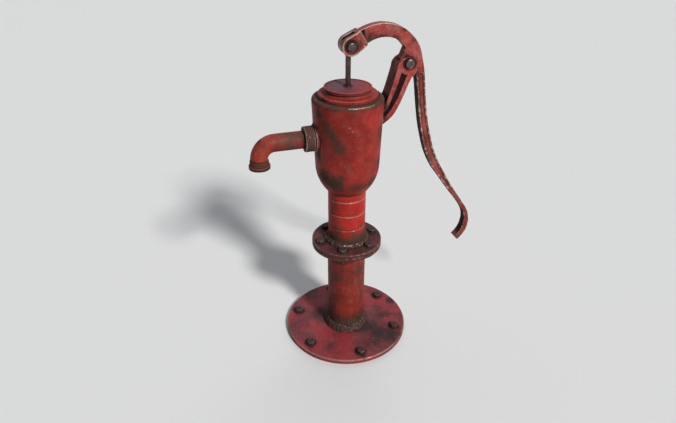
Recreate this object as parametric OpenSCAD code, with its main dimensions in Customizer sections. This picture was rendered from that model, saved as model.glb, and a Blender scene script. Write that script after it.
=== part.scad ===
// Hand well pump: a lift pump on a flanged stand pipe, worked by a forked lever.
// Origin on the ground under the pump's axis, +Z up, handle towards +X, spout towards -X. Millimetres.

/* [Base plate] */
// Diameter of the floor plate
base_d = 335; // [310:1:380]
// Thickness of the floor plate
base_t = 13; // [8:0.5:20]
// Radius of the plate's rounded upper edge
base_edge_r = 4; // [1:0.5:6]
// Pitch circle of the anchor bolts
anchor_pcd = 280; // [240:1:285]
// Angle of the first anchor bolt
anchor_turn = 30; // [0:1:60]

/* [Bolts] */
// Number of bolts in each circle
bolt_count = 6; // [4:1:8]
// Shank diameter of all bolts
bolt_d = 12; // [8:0.5:14]
// Width of bolt heads and nuts across the flats
bolt_af = 19; // [17:0.5:22]
// Height of a bolt head
head_h = 8; // [5:0.5:12]
// Height of a nut
nut_h = 10; // [6:0.5:12]
// Radial play of a bolt in its hole
bolt_play = 0.75; // [0.3:0.05:1]

/* [Stand pipe] */
// Outer diameter of the stand pipe
stand_d = 100; // [96:1:106]
// Wall of the stand pipe
stand_wall = 6; // [4:0.5:10]
// Length of the stand pipe
stand_h = 263; // [150:1:500]
// How far the foot weld stands out from the pipe
foot_weld_w = 9; // [5:0.5:12]
// Height of the foot weld
foot_weld_h = 22; // [12:0.5:26]
// Outer diameter of the suction socket
socket_d = 56; // [50:1:64]
// Bore of the suction socket, tapped for 1 1/4 inch pipe
socket_bore = 39; // [30:0.5:42]
// Length of the suction socket
socket_l = 45; // [30:1:80]

/* [Flange joint] */
// Diameter of both flanges
flange_d = 181; // [174:1:200]
// Thickness of one flange
flange_t = 8; // [5:0.5:12]
// Thickness of the leather between the flanges, and of the flap cut from it
gasket_t = 2; // [1.5:0.1:3]
// Pitch circle of the flange bolts
flange_pcd = 144; // [140:1:148]
// Angle of the first flange bolt
flange_turn = 5; // [0:1:30]
// Wall of the hub under the lower flange
hub_wall = 3; // [2:0.5:6]
// Height of the hub under the lower flange
hub_h = 20; // [12:1:60]
// Diameter of the valve port in the lower flange
port_d = 52; // [40:1:56]
// Size of the weld round the foot of the barrel
barrel_weld_w = 10; // [5:0.5:11]

/* [Barrel] */
// Outer diameter of the barrel
barrel_d = 95.4; // [92:0.2:98]
// Wall of the barrel
barrel_wall = 7.7; // [6:0.1:9]
// Visible length of the barrel, flange to bowl
barrel_h = 146; // [130:1:300]
// How far the barrel reaches up into the bowl
barrel_tail = 35; // [25:1:40]
// Number of turned ring grooves
groove_count = 3; // [0:1:3]
// Distance from the bowl down to the first groove, and from groove to groove
groove_first = 18; // [10:1:30]
groove_pitch = 41; // [30:1:45]
// Width of a groove
groove_w = 4; // [2:0.5:8]
// Depth of a groove
groove_deep = 1.2; // [0.4:0.1:2]

/* [Bowl] */
// Diameter at the top of the bowl
bowl_top_d = 169; // [164:1:180]
// Diameter where the round bottom begins
bowl_low_d = 157; // [150:1:162]
// Height of the bowl
bowl_h = 237; // [220:1:300]
// Height of the round bottom
bowl_knee_h = 72; // [66:1:80]
// Radius of the round bottom's profile
bowl_round_r = 105; // [98:1:110]
// Wall of the bowl
bowl_wall = 9; // [6:0.5:11]
// Radius of the rim's rounded edge
rim_r = 7; // [3:0.5:9]
// Diameter of the opening under the cap
mouth_d = 112; // [108:1:116]
// Height of the ring on which the cap is centred
register_h = 8; // [5:0.5:10]

/* [Spout] */
// Height of the spout's axis above the foot of the bowl
spout_up = 142; // [120:1:160]
// Outer diameter of the spout pipe
spout_d = 42; // [36:0.5:44]
// Wall of the spout pipe
spout_wall = 4; // [2.5:0.5:6]
// Distance from the pump's axis to the axis of the mouth
spout_reach = 213.5; // [200:0.5:260]
// Radius of the bend, on its axis
bend_r = 38; // [26:1:50]
// Drop from the spout's axis to the mouth
spout_drop = 59; // [55:1:90]
// Diameter of the boss on the bowl
boss_d = 66; // [64:1:72]
// How far the boss reaches out from the bowl's wall, on the spout's axis
boss_reach = 1.84; // [1:0.02:10]
// Thickness of the sealing ring behind the collar
washer_t = 1.5; // [1:0.5:4]
// Diameter of the collar
collar_d = 61; // [56:1:64]
// Length of the collar
collar_l = 22.5; // [18:0.5:42]
// Diameter of the nose ring
nose_d = 51; // [48:0.5:56]
// Height of the nose ring
nose_h = 20; // [16:0.5:21]

/* [Cap] */
// Diameter of the cap's top disc
cap_top_d = 111; // [106:1:116]
// Diameter of the cap's skirt
cap_skirt_d = 139; // [136:1:144]
// Height of the cap
cap_h = 23.5; // [21:0.5:30]
// Height of the skirt
skirt_h = 9; // [8.5:0.5:11]
// Diameter of the cap's set screws
screw_d = 5; // [4:0.5:6]
// Angle of the first set screw
screw_turn = -98; // [-180:1:180]
// Outer diameter of the rod's bush
bush_d = 22; // [18:0.5:28]

/* [Lever] */
// Distance from the pump's axis to the fulcrum
fulcrum_x = 139; // [132:1:146]
// Height of the fulcrum above the bowl's rim
fulcrum_up = 68; // [64:1:76]
// Height of the fork pin above the fulcrum
fork_rise = 45.5; // [40:0.5:52]
// How far the fork pin lies in front of the rod's axis at rest
fork_lead = 2; // [0:0.5:4]
// Slope of the fork
fork_tilt = 31; // [26:1:36]
// Thickness of the lever's arch and arm
lever_t = 22; // [18:0.5:26]
// Overall width of the fork
fork_w = 39.5; // [37:0.5:44]
// Radius of the fork's round end
cheek_r = 21; // [18:0.5:22]
// Distance from the fork pin to the collar of the fork
fork_l = 26; // [25:0.5:30]
// Radius of the hub on the fulcrum
hub_r = 20.5; // [16:0.5:21]
// Swing of the lever from handle down to handle up, in degrees
lever_swing = 25; // [15:1:26]
// Depth of the panels sunk into the arm and the fork's cheeks
panel_deep = 1.5; // [0.5:0.1:3]
// Width of the rim round those panels
panel_rim = 4; // [2.5:0.5:5]

/* [Bracket] */
// Width of the bracket
bracket_w = 42; // [38:0.5:48]
// Radius of the bracket's round head
head_r = 24.5; // [22:0.5:27]
// Diameter of the fulcrum pin
fulcrum_pin_d = 14; // [10:0.5:16]
// Diameter of the fork pin
fork_pin_d = 12; // [10:0.5:13]

/* [Rod and plunger] */
// Diameter of the rod
rod_d = 12.2; // [10:0.2:13]
// Depth of the plunger below the top of the barrel, at the top of its stroke
plunger_down = 39; // [36:1:60]
// Thickness of the rod's eye
eye_t = 16; // [14:0.5:17]
// Thickness of the plunger's body
plunger_t = 10; // [8:0.5:14]
// Thickness of the cup leather
cup_t = 3; // [2:0.5:4]
// Height of the cup's lip above the plunger's foot
cup_lip = 16; // [10:0.5:18]
// Lift of the plunger's valve
valve_lift = 8; // [4:0.5:10]

/* [Hidden] */
$fn = 96;

// Clearances: running fits, seats between moving pieces, and faces that swing past each other
run_play = 0.06;
cup_play = 0.08;
seat_gap = 0.1;
side_gap = 0.3;
eye_play = 0.5;
hub_gap = 1.2;
// Overrun of a cutting shape past the faces that it cuts
cut = 1;

// Levels, from the ground up
stand_top = base_t + stand_h;
gasket_z = stand_top + flange_t;
upper_flange_z = gasket_z + gasket_t;
flange_top = upper_flange_z + flange_t;
bowl_z = flange_top + barrel_h;
barrel_top = bowl_z + barrel_tail;
knee_z = bowl_z + bowl_knee_h;
rim_z = bowl_z + bowl_h;
spout_z = bowl_z + spout_up;
nose_z = spout_z - spout_drop;
cap_top = rim_z + cap_h;

// Bore of the barrel
bore_d = barrel_d - 2 * barrel_wall;
// Distance from the pump's axis to the face of the boss, past the bowl's cone at the spout's height
spout_share = (spout_z - knee_z) / (rim_z - rim_r - knee_z);
boss_face = (bowl_low_d + (bowl_top_d - bowl_low_d) * spout_share) / 2 + boss_reach;

// Lever linkage in the XZ plane
fulcrum = [fulcrum_x, rim_z + fulcrum_up];
fork = [fork_lead, fulcrum.y + fork_rise];
fork_arm = norm(fork - fulcrum);
rest_angle = asin(fork_rise / fork_arm);
stroke = fork_arm * (sin(rest_angle) - sin(rest_angle - lever_swing));
// The fork pin draws back as it passes the fulcrum's level, so the rod's eye is a slot
pin_back = fulcrum_x - fork_arm;
slot_play = 0.7;

// Plunger at rest, at the top of its stroke
plunger_z = barrel_top - plunger_down;
cup_z = plunger_z - cup_t;
follower_t = 6;
follower_z = cup_z - follower_t;
rod_foot = follower_z - nut_h;

// Valve ports through the plunger
plunger_ports = 4;
plunger_port_r = 7;
// Metal left between a port and the edge of the plunger's body
port_edge = 6.92;
cup_r = bore_d / 2 - cup_play;
plunger_r = cup_r - cup_t;
plunger_port_pcd = 2 * (plunger_r - port_edge - plunger_port_r);

// Small shapes shared by several pieces

module ring(outer_r, inner_r, h) {
    difference() {
        cylinder(r = outer_r, h = h);
        translate([0, 0, -cut]) cylinder(r = inner_r, h = h + 2 * cut);
    }
}

// Half section of a disc with a rounded upper edge
module round_edge_section(r, h, edge) {
    square([r - edge, h]);
    square([r, h - edge]);
    translate([r - edge, h - edge]) circle(edge);
}

// Half section of a weld bead in the corner between a pipe of radius r and the plate under it
module weld_section(r, w, h) {
    bead_r = (w * w + h * h / 4) / (2 * w);
    intersection() {
        translate([r + w - bead_r, h / 2]) circle(bead_r);
        translate([r, 0]) square([w, h]);
    }
}

// Hexagon with its upper corners taken off
module hex_block(af, h) {
    crown_angle = 30;
    intersection() {
        cylinder(r = af / 2 / cos(30), h = h, $fn = 6);
        cylinder(r1 = af / 2 + h / tan(crown_angle), r2 = af / 2, h = h);
    }
}

module bolt_circle(pcd, turn) {
    for (i = [0 : bolt_count - 1])
        rotate(turn + i * 360 / bolt_count)
            translate([pcd / 2, 0, 0]) children();
}

module bolt_holes(pcd, turn, z, h) {
    translate([0, 0, z - cut])
        bolt_circle(pcd, turn) cylinder(r = bolt_d / 2 + bolt_play, h = h + 2 * cut);
}

// Stands an XZ drawing up, with its thickness t centred on y = 0
module upright(t) {
    rotate([90, 0, 0]) linear_extrude(t, center = true) children();
}

// Cylinder along Y from y0 to y1 at a point of the XZ plane
module cross_pin(at, r, y0, y1) {
    translate([at.x, y1, at.y]) rotate([90, 0, 0]) cylinder(r = r, h = y1 - y0);
}

// Smooth curve through hand-set stations, each [x, z, width]
curve_steps = 5;

function blend(a, b, c, d, t) =
    0.5 * (2 * b + (c - a) * t + (2 * a - 5 * b + 4 * c - d) * t * t + (3 * b - a - 3 * c + d) * t * t * t);

function curve(stations) = let (last = len(stations) - 1) [
    for (i = [0 : last - 1], k = [0 : curve_steps - 1])
        blend(stations[max(i - 1, 0)], stations[i], stations[i + 1], stations[min(i + 2, last)], k / curve_steps),
    stations[last]
];

function side_point(path, i, side, inset) = let (
    along = path[min(i + 1, len(path) - 1)] - path[max(i - 1, 0)],
    across = [-along.y, along.x] / norm([along.x, along.y])
) [path[i].x, path[i].y] + across * side * (path[i].z / 2 - inset);

// Outline of a path's width drawn in by an inset, counterclockwise
function band(path, inset) = concat(
    [for (i = [0 : len(path) - 1]) side_point(path, i, -1, inset)],
    [for (i = [len(path) - 1 : -1 : 0]) side_point(path, i, 1, inset)]
);

// Floor plate and stand

module base_plate() {
    color("firebrick") difference() {
        rotate_extrude() round_edge_section(base_d / 2, base_t, base_edge_r);
        translate([0, 0, -cut]) cylinder(r = socket_d / 2, h = base_t + 2 * cut);
        bolt_holes(anchor_pcd, anchor_turn, 0, base_t);
    }
}

module anchor_bolts() {
    shank_foot = 0.5;
    color("saddlebrown") bolt_circle(anchor_pcd, anchor_turn) {
        translate([0, 0, base_t]) hex_block(bolt_af, head_h);
        translate([0, 0, shank_foot]) cylinder(r = bolt_d / 2, h = base_t - shank_foot);
    }
}

module foot_weld() {
    color("saddlebrown") translate([0, 0, base_t])
        rotate_extrude() weld_section(stand_d / 2, foot_weld_w, foot_weld_h);
}

module suction_socket() {
    color("dimgray") ring(socket_d / 2, socket_bore / 2, socket_l);
}

module stand_pipe() {
    color("firebrick") translate([0, 0, base_t]) ring(stand_d / 2, stand_d / 2 - stand_wall, stand_h);
}

// Flange joint with the foot valve

module lower_flange() {
    color("brown") difference() {
        union() {
            translate([0, 0, stand_top]) ring(flange_d / 2, port_d / 2, flange_t);
            translate([0, 0, stand_top - hub_h]) ring(stand_d / 2 + hub_wall, stand_d / 2, hub_h);
        }
        bolt_holes(flange_pcd, flange_turn, stand_top, flange_t);
    }
}

// The flap is cut from the same leather as the gasket, and bends at a tongue on the gasket's inner edge
flap_lap = 6;
flap_r = port_d / 2 + flap_lap;
flap_w = 30;
tongue_l = 4.5;
tongue_x = flap_r + tongue_l;
// The gasket's inner edge clears the barrel's bore and the flap's tongue
gasket_bore = max(bore_d / 2 + eye_play, tongue_x + side_gap);
weight_h = 10;
weight_inset = 4;
weight_r = port_d / 2 - weight_inset;
rivet_r = 4;
rivet_head_r = 9.6;
rivet_head_h = 3;

module gasket() {
    trim = 1.5;
    color("peru") translate([0, 0, gasket_z]) difference() {
        union() {
            ring(flange_d / 2 - trim, gasket_bore, gasket_t);
            translate([tongue_x + side_gap, -flap_w / 2, 0]) cube([gasket_bore - tongue_x + cut, flap_w, gasket_t]);
        }
        bolt_holes(flange_pcd, flange_turn, 0, gasket_t);
    }
}

module flap_leather() {
    color("peru") translate([0, 0, gasket_z + seat_gap]) difference() {
        union() {
            cylinder(r = flap_r, h = gasket_t - seat_gap);
            translate([0, -flap_w / 2, 0]) cube([tongue_x, flap_w, gasket_t - seat_gap]);
        }
        translate([0, 0, -cut]) cylinder(r = rivet_r, h = gasket_t + 2 * cut);
    }
}

module flap_weight() {
    color("dimgray") translate([0, 0, upper_flange_z]) difference() {
        rotate_extrude() round_edge_section(weight_r, weight_h, weight_h / 4);
        translate([0, 0, -cut]) cylinder(r = rivet_r, h = weight_h + 2 * cut);
    }
}

module flap_rivet() {
    color("goldenrod") {
        translate([0, 0, gasket_z + seat_gap - rivet_head_h]) cylinder(r = rivet_head_r, h = rivet_head_h);
        translate([0, 0, gasket_z + seat_gap]) cylinder(r = rivet_r, h = gasket_t - seat_gap + weight_h);
    }
}

module upper_flange() {
    color("brown") difference() {
        translate([0, 0, upper_flange_z]) rotate_extrude() difference() {
            round_edge_section(flange_d / 2, flange_t, flange_t / 4);
            square([barrel_d / 2, flange_t]);
        }
        bolt_holes(flange_pcd, flange_turn, upper_flange_z, flange_t);
    }
}

bolt_tail = 5;

module flange_bolts() {
    color("saddlebrown") bolt_circle(flange_pcd, flange_turn) {
        shank_foot = stand_top - nut_h - bolt_tail;
        translate([0, 0, flange_top]) hex_block(bolt_af, head_h);
        translate([0, 0, shank_foot]) cylinder(r = bolt_d / 2, h = flange_top - shank_foot);
    }
}

module flange_nuts() {
    color("saddlebrown") bolt_circle(flange_pcd, flange_turn)
        translate([0, 0, stand_top]) mirror([0, 0, 1]) difference() {
            hex_block(bolt_af, nut_h);
            translate([0, 0, -cut]) cylinder(r = bolt_d / 2, h = nut_h + 2 * cut);
        }
}

// Barrel and bowl

module barrel() {
    color("firebrick") difference() {
        translate([0, 0, upper_flange_z]) ring(barrel_d / 2, bore_d / 2, barrel_top - upper_flange_z);
        if (groove_count > 0)
            for (i = [0 : groove_count - 1])
                translate([0, 0, bowl_z - groove_first - i * groove_pitch])
                    rotate_extrude() groove_section();
    }
}

module groove_section() {
    deep_r = barrel_d / 2 - groove_deep;
    polygon([
        [deep_r, -groove_w / 4], [barrel_d / 2 + cut, -groove_w / 2 - cut],
        [barrel_d / 2 + cut, groove_w / 2 + cut], [deep_r, groove_w / 4]
    ]);
}

module barrel_weld() {
    color("saddlebrown") translate([0, 0, flange_top])
        rotate_extrude() weld_section(barrel_d / 2, barrel_weld_w, barrel_weld_w * 1.2);
}

// Half section of the bowl drawn in by a distance from its outside
module bowl_section(inset) {
    knee_at = bowl_low_d / 2 - bowl_round_r;
    intersection() {
        translate([knee_at, knee_z]) circle(bowl_round_r - inset);
        translate([0, bowl_z]) square([bowl_low_d, bowl_knee_h]);
    }
    polygon([
        [0, knee_z], [bowl_low_d / 2 - inset, knee_z],
        [bowl_top_d / 2 - inset, rim_z - rim_r], [0, rim_z - rim_r]
    ]);
}

module bowl_outside() {
    rotate_extrude() {
        bowl_section(0);
        translate([0, rim_z - rim_r - cut]) round_edge_section(bowl_top_d / 2, rim_r + cut, rim_r);
    }
}

module bowl_chamber() {
    rotate_extrude() intersection() {
        bowl_section(bowl_wall);
        translate([0, barrel_top]) square([bowl_top_d, rim_z - barrel_top]);
    }
    translate([0, 0, barrel_top]) cylinder(r = mouth_d / 2, h = rim_z + register_h + cut - barrel_top);
}

register_w = 7;
register_r = mouth_d / 2 + register_w;
boss_l = 3 * bowl_wall;

module bowl() {
    color("firebrick") difference() {
        union() {
            bowl_outside();
            translate([0, 0, rim_z - cut]) cylinder(r = register_r, h = register_h + cut);
            translate([-boss_face, 0, spout_z]) rotate([0, 90, 0]) cylinder(r = boss_d / 2, h = boss_l);
        }
        bowl_chamber();
        translate([0, 0, bowl_z - cut]) cylinder(r = barrel_d / 2, h = barrel_tail + 2 * cut);
        translate([-boss_face - cut, 0, spout_z]) rotate([0, 90, 0]) cylinder(r = spout_d / 2, h = boss_face);
    }
}

// Spout

module spout_washer() {
    inset = 3;
    color("black") translate([-boss_face, 0, spout_z]) rotate([0, -90, 0])
        ring(collar_d / 2 - inset, spout_d / 2, washer_t);
}

module spout_collar() {
    edge = 2;
    color("sienna") translate([-boss_face - washer_t, 0, spout_z]) rotate([0, -90, 0])
        rotate_extrude() difference() {
            round_edge_section(collar_d / 2, collar_l, edge);
            square([spout_d / 2, collar_l]);
        }
}

// Way of the spout from the bowl's wall to its mouth, as a bar of radius r
module spout_way(r, overrun) {
    way_in = bowl_low_d / 2 - bowl_wall;
    level_l = spout_reach - bend_r - way_in;
    translate([-way_in + overrun, 0, spout_z]) rotate([0, -90, 0]) cylinder(r = r, h = level_l + overrun);
    translate([-spout_reach + bend_r, 0, spout_z - bend_r]) rotate([90, 0, 0])
        rotate([0, 0, 90]) rotate_extrude(angle = 90) translate([bend_r, 0]) circle(r);
    translate([-spout_reach, 0, nose_z - overrun]) cylinder(r = r, h = spout_drop - bend_r + overrun);
}

module spout_pipe() {
    color("firebrick") difference() {
        spout_way(spout_d / 2, 0);
        spout_way(spout_d / 2 - spout_wall, cut);
    }
}

module spout_nose() {
    lip_h = nose_h * 0.45;
    bands = 3;
    band_h = (nose_h - lip_h) / bands;
    band_r = (nose_d / 2 + spout_d / 2) / 2;
    color("saddlebrown") translate([-spout_reach, 0, nose_z]) rotate_extrude() difference() {
        union() {
            round_edge_section(nose_d / 2, lip_h, lip_h / 4);
            square([band_r - band_h / 2, nose_h]);
            for (i = [0 : bands - 1])
                translate([band_r - band_h / 2, lip_h + (i + 0.5) * band_h]) circle(band_h / 2);
        }
        square([spout_d / 2, nose_h + cut]);
    }
}

// Cap

skirt_edge = 2.5;
disc_h = 6;
disc_edge = 2;
// Lip round the sunk face of the top disc, and the half-round groove in the disc's side
disc_lip_w = 4.5;
disc_lip_deep = 0.8;
disc_groove_z = 2.2;
disc_groove_r = 0.9;

// Half section of the cap: skirt, coved neck and lipped top disc
module cap_section() {
    disc_r = cap_top_d / 2;
    neck_z = cap_h - disc_h;
    cove_r = (neck_z - skirt_h) * 0.6;
    round_edge_section(cap_skirt_d / 2, skirt_h, skirt_edge);
    difference() {
        square([disc_r + cove_r / 2, neck_z]);
        translate([disc_r + cove_r / 2, neck_z - cove_r / 2]) circle(cove_r);
    }
    difference() {
        translate([0, neck_z - cut]) round_edge_section(disc_r, disc_h + cut, disc_edge);
        translate([disc_r, neck_z + disc_groove_z]) circle(disc_groove_r);
        translate([0, cap_h - disc_lip_deep]) square([disc_r - disc_lip_w, disc_lip_deep + cut]);
    }
}

screw_count = 3;

module cap_screw_places() {
    screw_z = rim_z + (skirt_h - skirt_edge) / 2;
    for (i = [0 : screw_count - 1])
        rotate(screw_turn + i * 360 / screw_count) translate([register_r + seat_gap, 0, screw_z]) rotate([0, 90, 0]) children();
}

screw_sunk = 0.8;
screw_l = cap_skirt_d / 2 - register_r - screw_sunk;

module cap() {
    color("firebrick") difference() {
        translate([0, 0, rim_z]) rotate_extrude() cap_section();
        translate([0, 0, rim_z - cut]) cylinder(r = register_r + seat_gap, h = register_h + seat_gap + cut);
        translate([0, 0, rim_z]) cylinder(r = bush_d / 2, h = cap_h + cut);
        cap_screw_places() translate([0, 0, -cut]) cylinder(r = screw_d / 2 + run_play, h = cap_skirt_d);
    }
}

module cap_screws() {
    socket_af = screw_d / 2;
    color("dimgray") cap_screw_places() difference() {
        cylinder(r = screw_d / 2, h = screw_l);
        translate([0, 0, screw_l / 2]) cylinder(r = socket_af / 2 / cos(30), h = screw_l, $fn = 6);
    }
}

module rod_bush() {
    proud = 1.2;
    color("goldenrod") translate([0, 0, rim_z + register_h + seat_gap])
        ring(bush_d / 2, rod_d / 2 + run_play, cap_h - register_h - seat_gap + proud);
}

// Handle bracket

// Both ribs from the round head down into the bowl's wall, measured from the fulcrum
front_rib_line = [
    [-23, -13, 13], [-32.6, -45, 11.5], [-39.5, -66, 10], [-46, -82, 10], [-52, -95, 12.5], [-62.5, -104, 14],
    [-80, -112, 14]
];
rear_rib_line = [
    [4, -22, 14], [0, -33, 13], [-7.5, -51, 12], [-16.5, -74.5, 11.5], [-24.5, -91.5, 12], [-35.5, -111, 12.5],
    [-48, -123.5, 13], [-62.5, -133, 14], [-80, -141, 14]
];
bracket_head = [-5, -11.5];
// Upper end of the slot between the ribs
slot_top = [[-29, -44], [-10, -50], [-3.5, -27.2], [-21, -19]];

module bracket_section() {
    translate(fulcrum) {
        difference() {
            translate(bracket_head) circle(head_r);
            polygon(slot_top);
        }
        polygon(band(curve(front_rib_line), 0));
        polygon(band(curve(rear_rib_line), 0));
    }
}

// Room between the bracket's cheeks for the lever's hub and arch
module bracket_room() {
    room_r = hub_r + hub_gap;
    reach = head_r * 4;
    translate(fulcrum) circle(room_r);
    translate(fulcrum + [-room_r, 0]) square([reach, reach]);
    translate(fulcrum + [0, -room_r]) square([reach, reach]);
}

module handle_bracket() {
    color("indianred") difference() {
        upright(bracket_w) bracket_section();
        upright(lever_t + 2 * side_gap) bracket_room();
        bowl_outside();
        cross_pin(fulcrum, fulcrum_pin_d / 2, -bracket_w, bracket_w);
    }
}

// Pins with a round head on the spout's right-hand side, a washer and a split pin on the other

pin_head_share = 1.5;
pin_washer_share = 1.7;
pin_washer_t = 2;
pin_end = 7.5;
cotter_d = 3.2;
cotter_leg = 6;

module headed_pin(at, d, head_t, y0, y1) {
    head_d = d * pin_head_share;
    edge = head_t / 3;
    y_end = y1 + pin_washer_t + pin_end;
    difference() {
        union() {
            cross_pin(at, d / 2, y0, y_end);
            translate([at.x, y0, at.y]) rotate([90, 0, 0])
                rotate_extrude() round_edge_section(head_d / 2, head_t, edge);
        }
        translate([at.x, y1 + pin_washer_t + cotter_d, at.y - d]) cylinder(r = cotter_d / 2, h = 2 * d);
    }
}

module pin_washer(at, d, y1) {
    translate([at.x, y1 + pin_washer_t, at.y]) rotate([90, 0, 0])
        ring(d / 2 * pin_washer_share, d / 2, pin_washer_t);
}

module split_pin(at, d, y1) {
    leg = d / 2 + cotter_leg;
    neck = d / 2 + cotter_d / 3;
    loop_r = cotter_d * 0.9;
    wire_r = cotter_d * 0.4;
    translate([at.x, y1 + pin_washer_t + cotter_d, at.y]) {
        translate([0, 0, -leg]) cylinder(r = cotter_d / 2, h = leg + neck);
        translate([0, 0, neck + loop_r]) rotate([90, 0, 0])
            rotate_extrude() translate([loop_r, 0]) circle(wire_r);
    }
}

fulcrum_head_t = 6;
fork_head_t = 4.5;
fork_face = fork_w / 2 - panel_deep;

module fulcrum_pin() {
    color("gray") headed_pin(fulcrum, fulcrum_pin_d, fulcrum_head_t, -bracket_w / 2, bracket_w / 2);
}

module fulcrum_washer() {
    color("gray") pin_washer(fulcrum, fulcrum_pin_d, bracket_w / 2);
}

module fulcrum_cotter() {
    color("dimgray") split_pin(fulcrum, fulcrum_pin_d, bracket_w / 2);
}

module fork_pin() {
    color("gray") headed_pin(fork, fork_pin_d, fork_head_t, -fork_face, fork_face);
}

module fork_washer() {
    color("gray") pin_washer(fork, fork_pin_d, fork_face);
}

module fork_cotter() {
    color("dimgray") split_pin(fork, fork_pin_d, fork_face);
}

// Lever

collar_w = 8;
collar_half_h = 18.5;
collar_inset = 2;
fork_gap = eye_t + 2 * eye_play;
throat_back = 2;
throat_l = fork_l - throat_back;

// Arch from the fork's collar over to the hub, as shares of the reach and heights above the fulcrum
lever_reach = fulcrum_x - fork_lead;
arch_line = [
    for (p = [
        [-0.84, 59, 34], [-0.65, 70.5, 32], [-0.44, 75, 30], [-0.21, 68.5, 29], [-0.04, 52.5, 29.5], [0.09, 29, 31]
    ]) [p.x * lever_reach, p.y, p.z]
];

// Arm from the hub down to the curled end, measured from the fulcrum
arm_line = [
    [24, -3, 28], [34, -36, 22], [41.9, -93, 20.5], [51.8, -150, 21.5], [61, -186, 22], [71.5, -221, 22],
    [83.7, -249.6, 21.5], [97, -274.4, 20.5], [113.8, -299.7, 17.5], [134, -330.8, 14], [157.8, -364.3, 12.3],
    [182, -397.5, 10.5], [197.3, -423, 11.7], [203.1, -444, 13.7], [203, -464.7, 15.5], [197.8, -483.4, 16],
    [187, -499.5, 16.2], [178, -507.5, 15.5]
];

lever_path = [for (p = curve(concat(arch_line, arm_line))) p + [fulcrum.x, fulcrum.y, 0]];
// The arm's sunk panel runs between these heights below the fulcrum
panel_top = 27;
panel_foot = 350;
panel_path = [for (p = lever_path) if (p.y < fulcrum.y - panel_top && p.y > fulcrum.y - panel_foot) p];

// Outline of one fork cheek along its own axis: a round end and two straight tangents to the collar
module cheek_section(inset) {
    r = cheek_r - inset;
    h = collar_half_h - inset;
    far = norm([fork_l, h]);
    lift = atan2(h, fork_l) + acos(r / far);
    touch = r * [cos(lift), sin(lift)];
    circle(r);
    polygon([[touch.x, -touch.y], [fork_l, -h], [fork_l, h], touch]);
}

module at_fork() {
    translate(fork) rotate(fork_tilt) children();
}

module lever_body() {
    upright(lever_t) {
        polygon(band(lever_path, 0));
        translate(fulcrum) circle(hub_r);
        lug_section();
    }
    upright(fork_w) at_fork() cheek_section(0);
    upright(fork_w - 2 * collar_inset) at_fork()
        translate([fork_l, -collar_half_h]) square([collar_w, 2 * collar_half_h]);
}

// Web between the hub and the inner edge of the arch, tangent to the hub
lug_line = [[0, 0], [18, 0], [8, 38], [-9, 32]];

module lug_section() {
    corner = lug_line[len(lug_line) - 1];
    lift = atan2(corner.y, corner.x) + acos(hub_r / norm(corner));
    translate(fulcrum) polygon(concat(lug_line, [hub_r * [cos(lift), sin(lift)]]));
}

module lever() {
    color("indianred") difference() {
        lever_body();
        for (side = [-1, 1]) {
            translate([0, side * lever_t / 2, 0]) upright(2 * panel_deep) polygon(band(panel_path, panel_rim));
            translate([0, side * fork_w / 2, 0]) upright(2 * panel_deep) at_fork() cheek_section(panel_rim);
        }
        upright(fork_gap) at_fork()
            translate([throat_l - 4 * cheek_r, -2 * cheek_r]) square(4 * cheek_r);
        cross_pin(fulcrum, fulcrum_pin_d / 2 + run_play, -lever_t, lever_t);
        cross_pin(fork, fork_pin_d / 2, -fork_w, fork_w);
    }
}

// Rod and plunger

eye_wall = 6.8;
eye_r = fork_pin_d / 2 + slot_play + eye_wall;
rod_top = fork.y - eye_r;

// Long round shape across the rod, spanning the fork pin's drift, with end radius r
module eye_section(r) {
    for (x = [fork.x, pin_back]) translate([x, fork.y]) circle(r);
    translate([pin_back, fork.y - r]) square([fork.x - pin_back, 2 * r]);
}

module rod_head() {
    neck_l = 8;
    color("dimgray") difference() {
        union() {
            upright(eye_t) eye_section(eye_r);
            translate([0, 0, rod_top - neck_l]) cylinder(r = eye_t / 2, h = neck_l + eye_wall / 2);
        }
        upright(2 * eye_t) eye_section(fork_pin_d / 2 + slot_play);
        translate([0, 0, rod_top - neck_l - cut]) cylinder(r = rod_d / 2, h = neck_l + cut);
    }
}

module piston_rod() {
    color("gray") translate([0, 0, rod_foot]) cylinder(r = rod_d / 2, h = rod_top - rod_foot);
}

valve_t = 4;
valve_lap = 2;
valve_z = plunger_z + plunger_t + seat_gap;

module valve_stop() {
    stop_h = 7;
    color("dimgray") translate([0, 0, valve_z + valve_t + valve_lift + side_gap]) ring(rod_d, rod_d / 2, stop_h);
}

module plunger_valve() {
    valve_r = plunger_port_pcd / 2 + plunger_port_r + valve_lap;
    color("goldenrod") translate([0, 0, valve_z]) ring(valve_r, rod_d / 2 + side_gap, valve_t);
}

module with_ports(z, h) {
    difference() {
        children();
        for (i = [0 : plunger_ports - 1])
            rotate(i * 360 / plunger_ports) translate([plunger_port_pcd / 2, 0, z - cut])
                cylinder(r = plunger_port_r, h = h + 2 * cut);
    }
}

module plunger_body() {
    color("gray") with_ports(plunger_z, plunger_t)
        translate([0, 0, plunger_z]) ring(plunger_r, rod_d / 2, plunger_t);
}

module cup_leather() {
    color("peru") with_ports(cup_z, cup_t) translate([0, 0, cup_z]) difference() {
        cylinder(r = cup_r, h = cup_t + cup_lip);
        translate([0, 0, cup_t]) cylinder(r = plunger_r, h = cup_lip + cut);
        translate([0, 0, -cut]) cylinder(r = rod_d / 2, h = cup_t + 2 * cut);
    }
}

module plunger_follower() {
    color("gray") with_ports(follower_z, follower_t)
        translate([0, 0, follower_z]) ring(plunger_r, rod_d / 2, follower_t);
}

module plunger_nut() {
    color("dimgray") translate([0, 0, follower_z]) mirror([0, 0, 1]) difference() {
        hex_block(bolt_af, nut_h);
        translate([0, 0, -cut]) cylinder(r = rod_d / 2, h = nut_h + 2 * cut);
    }
}

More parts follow.
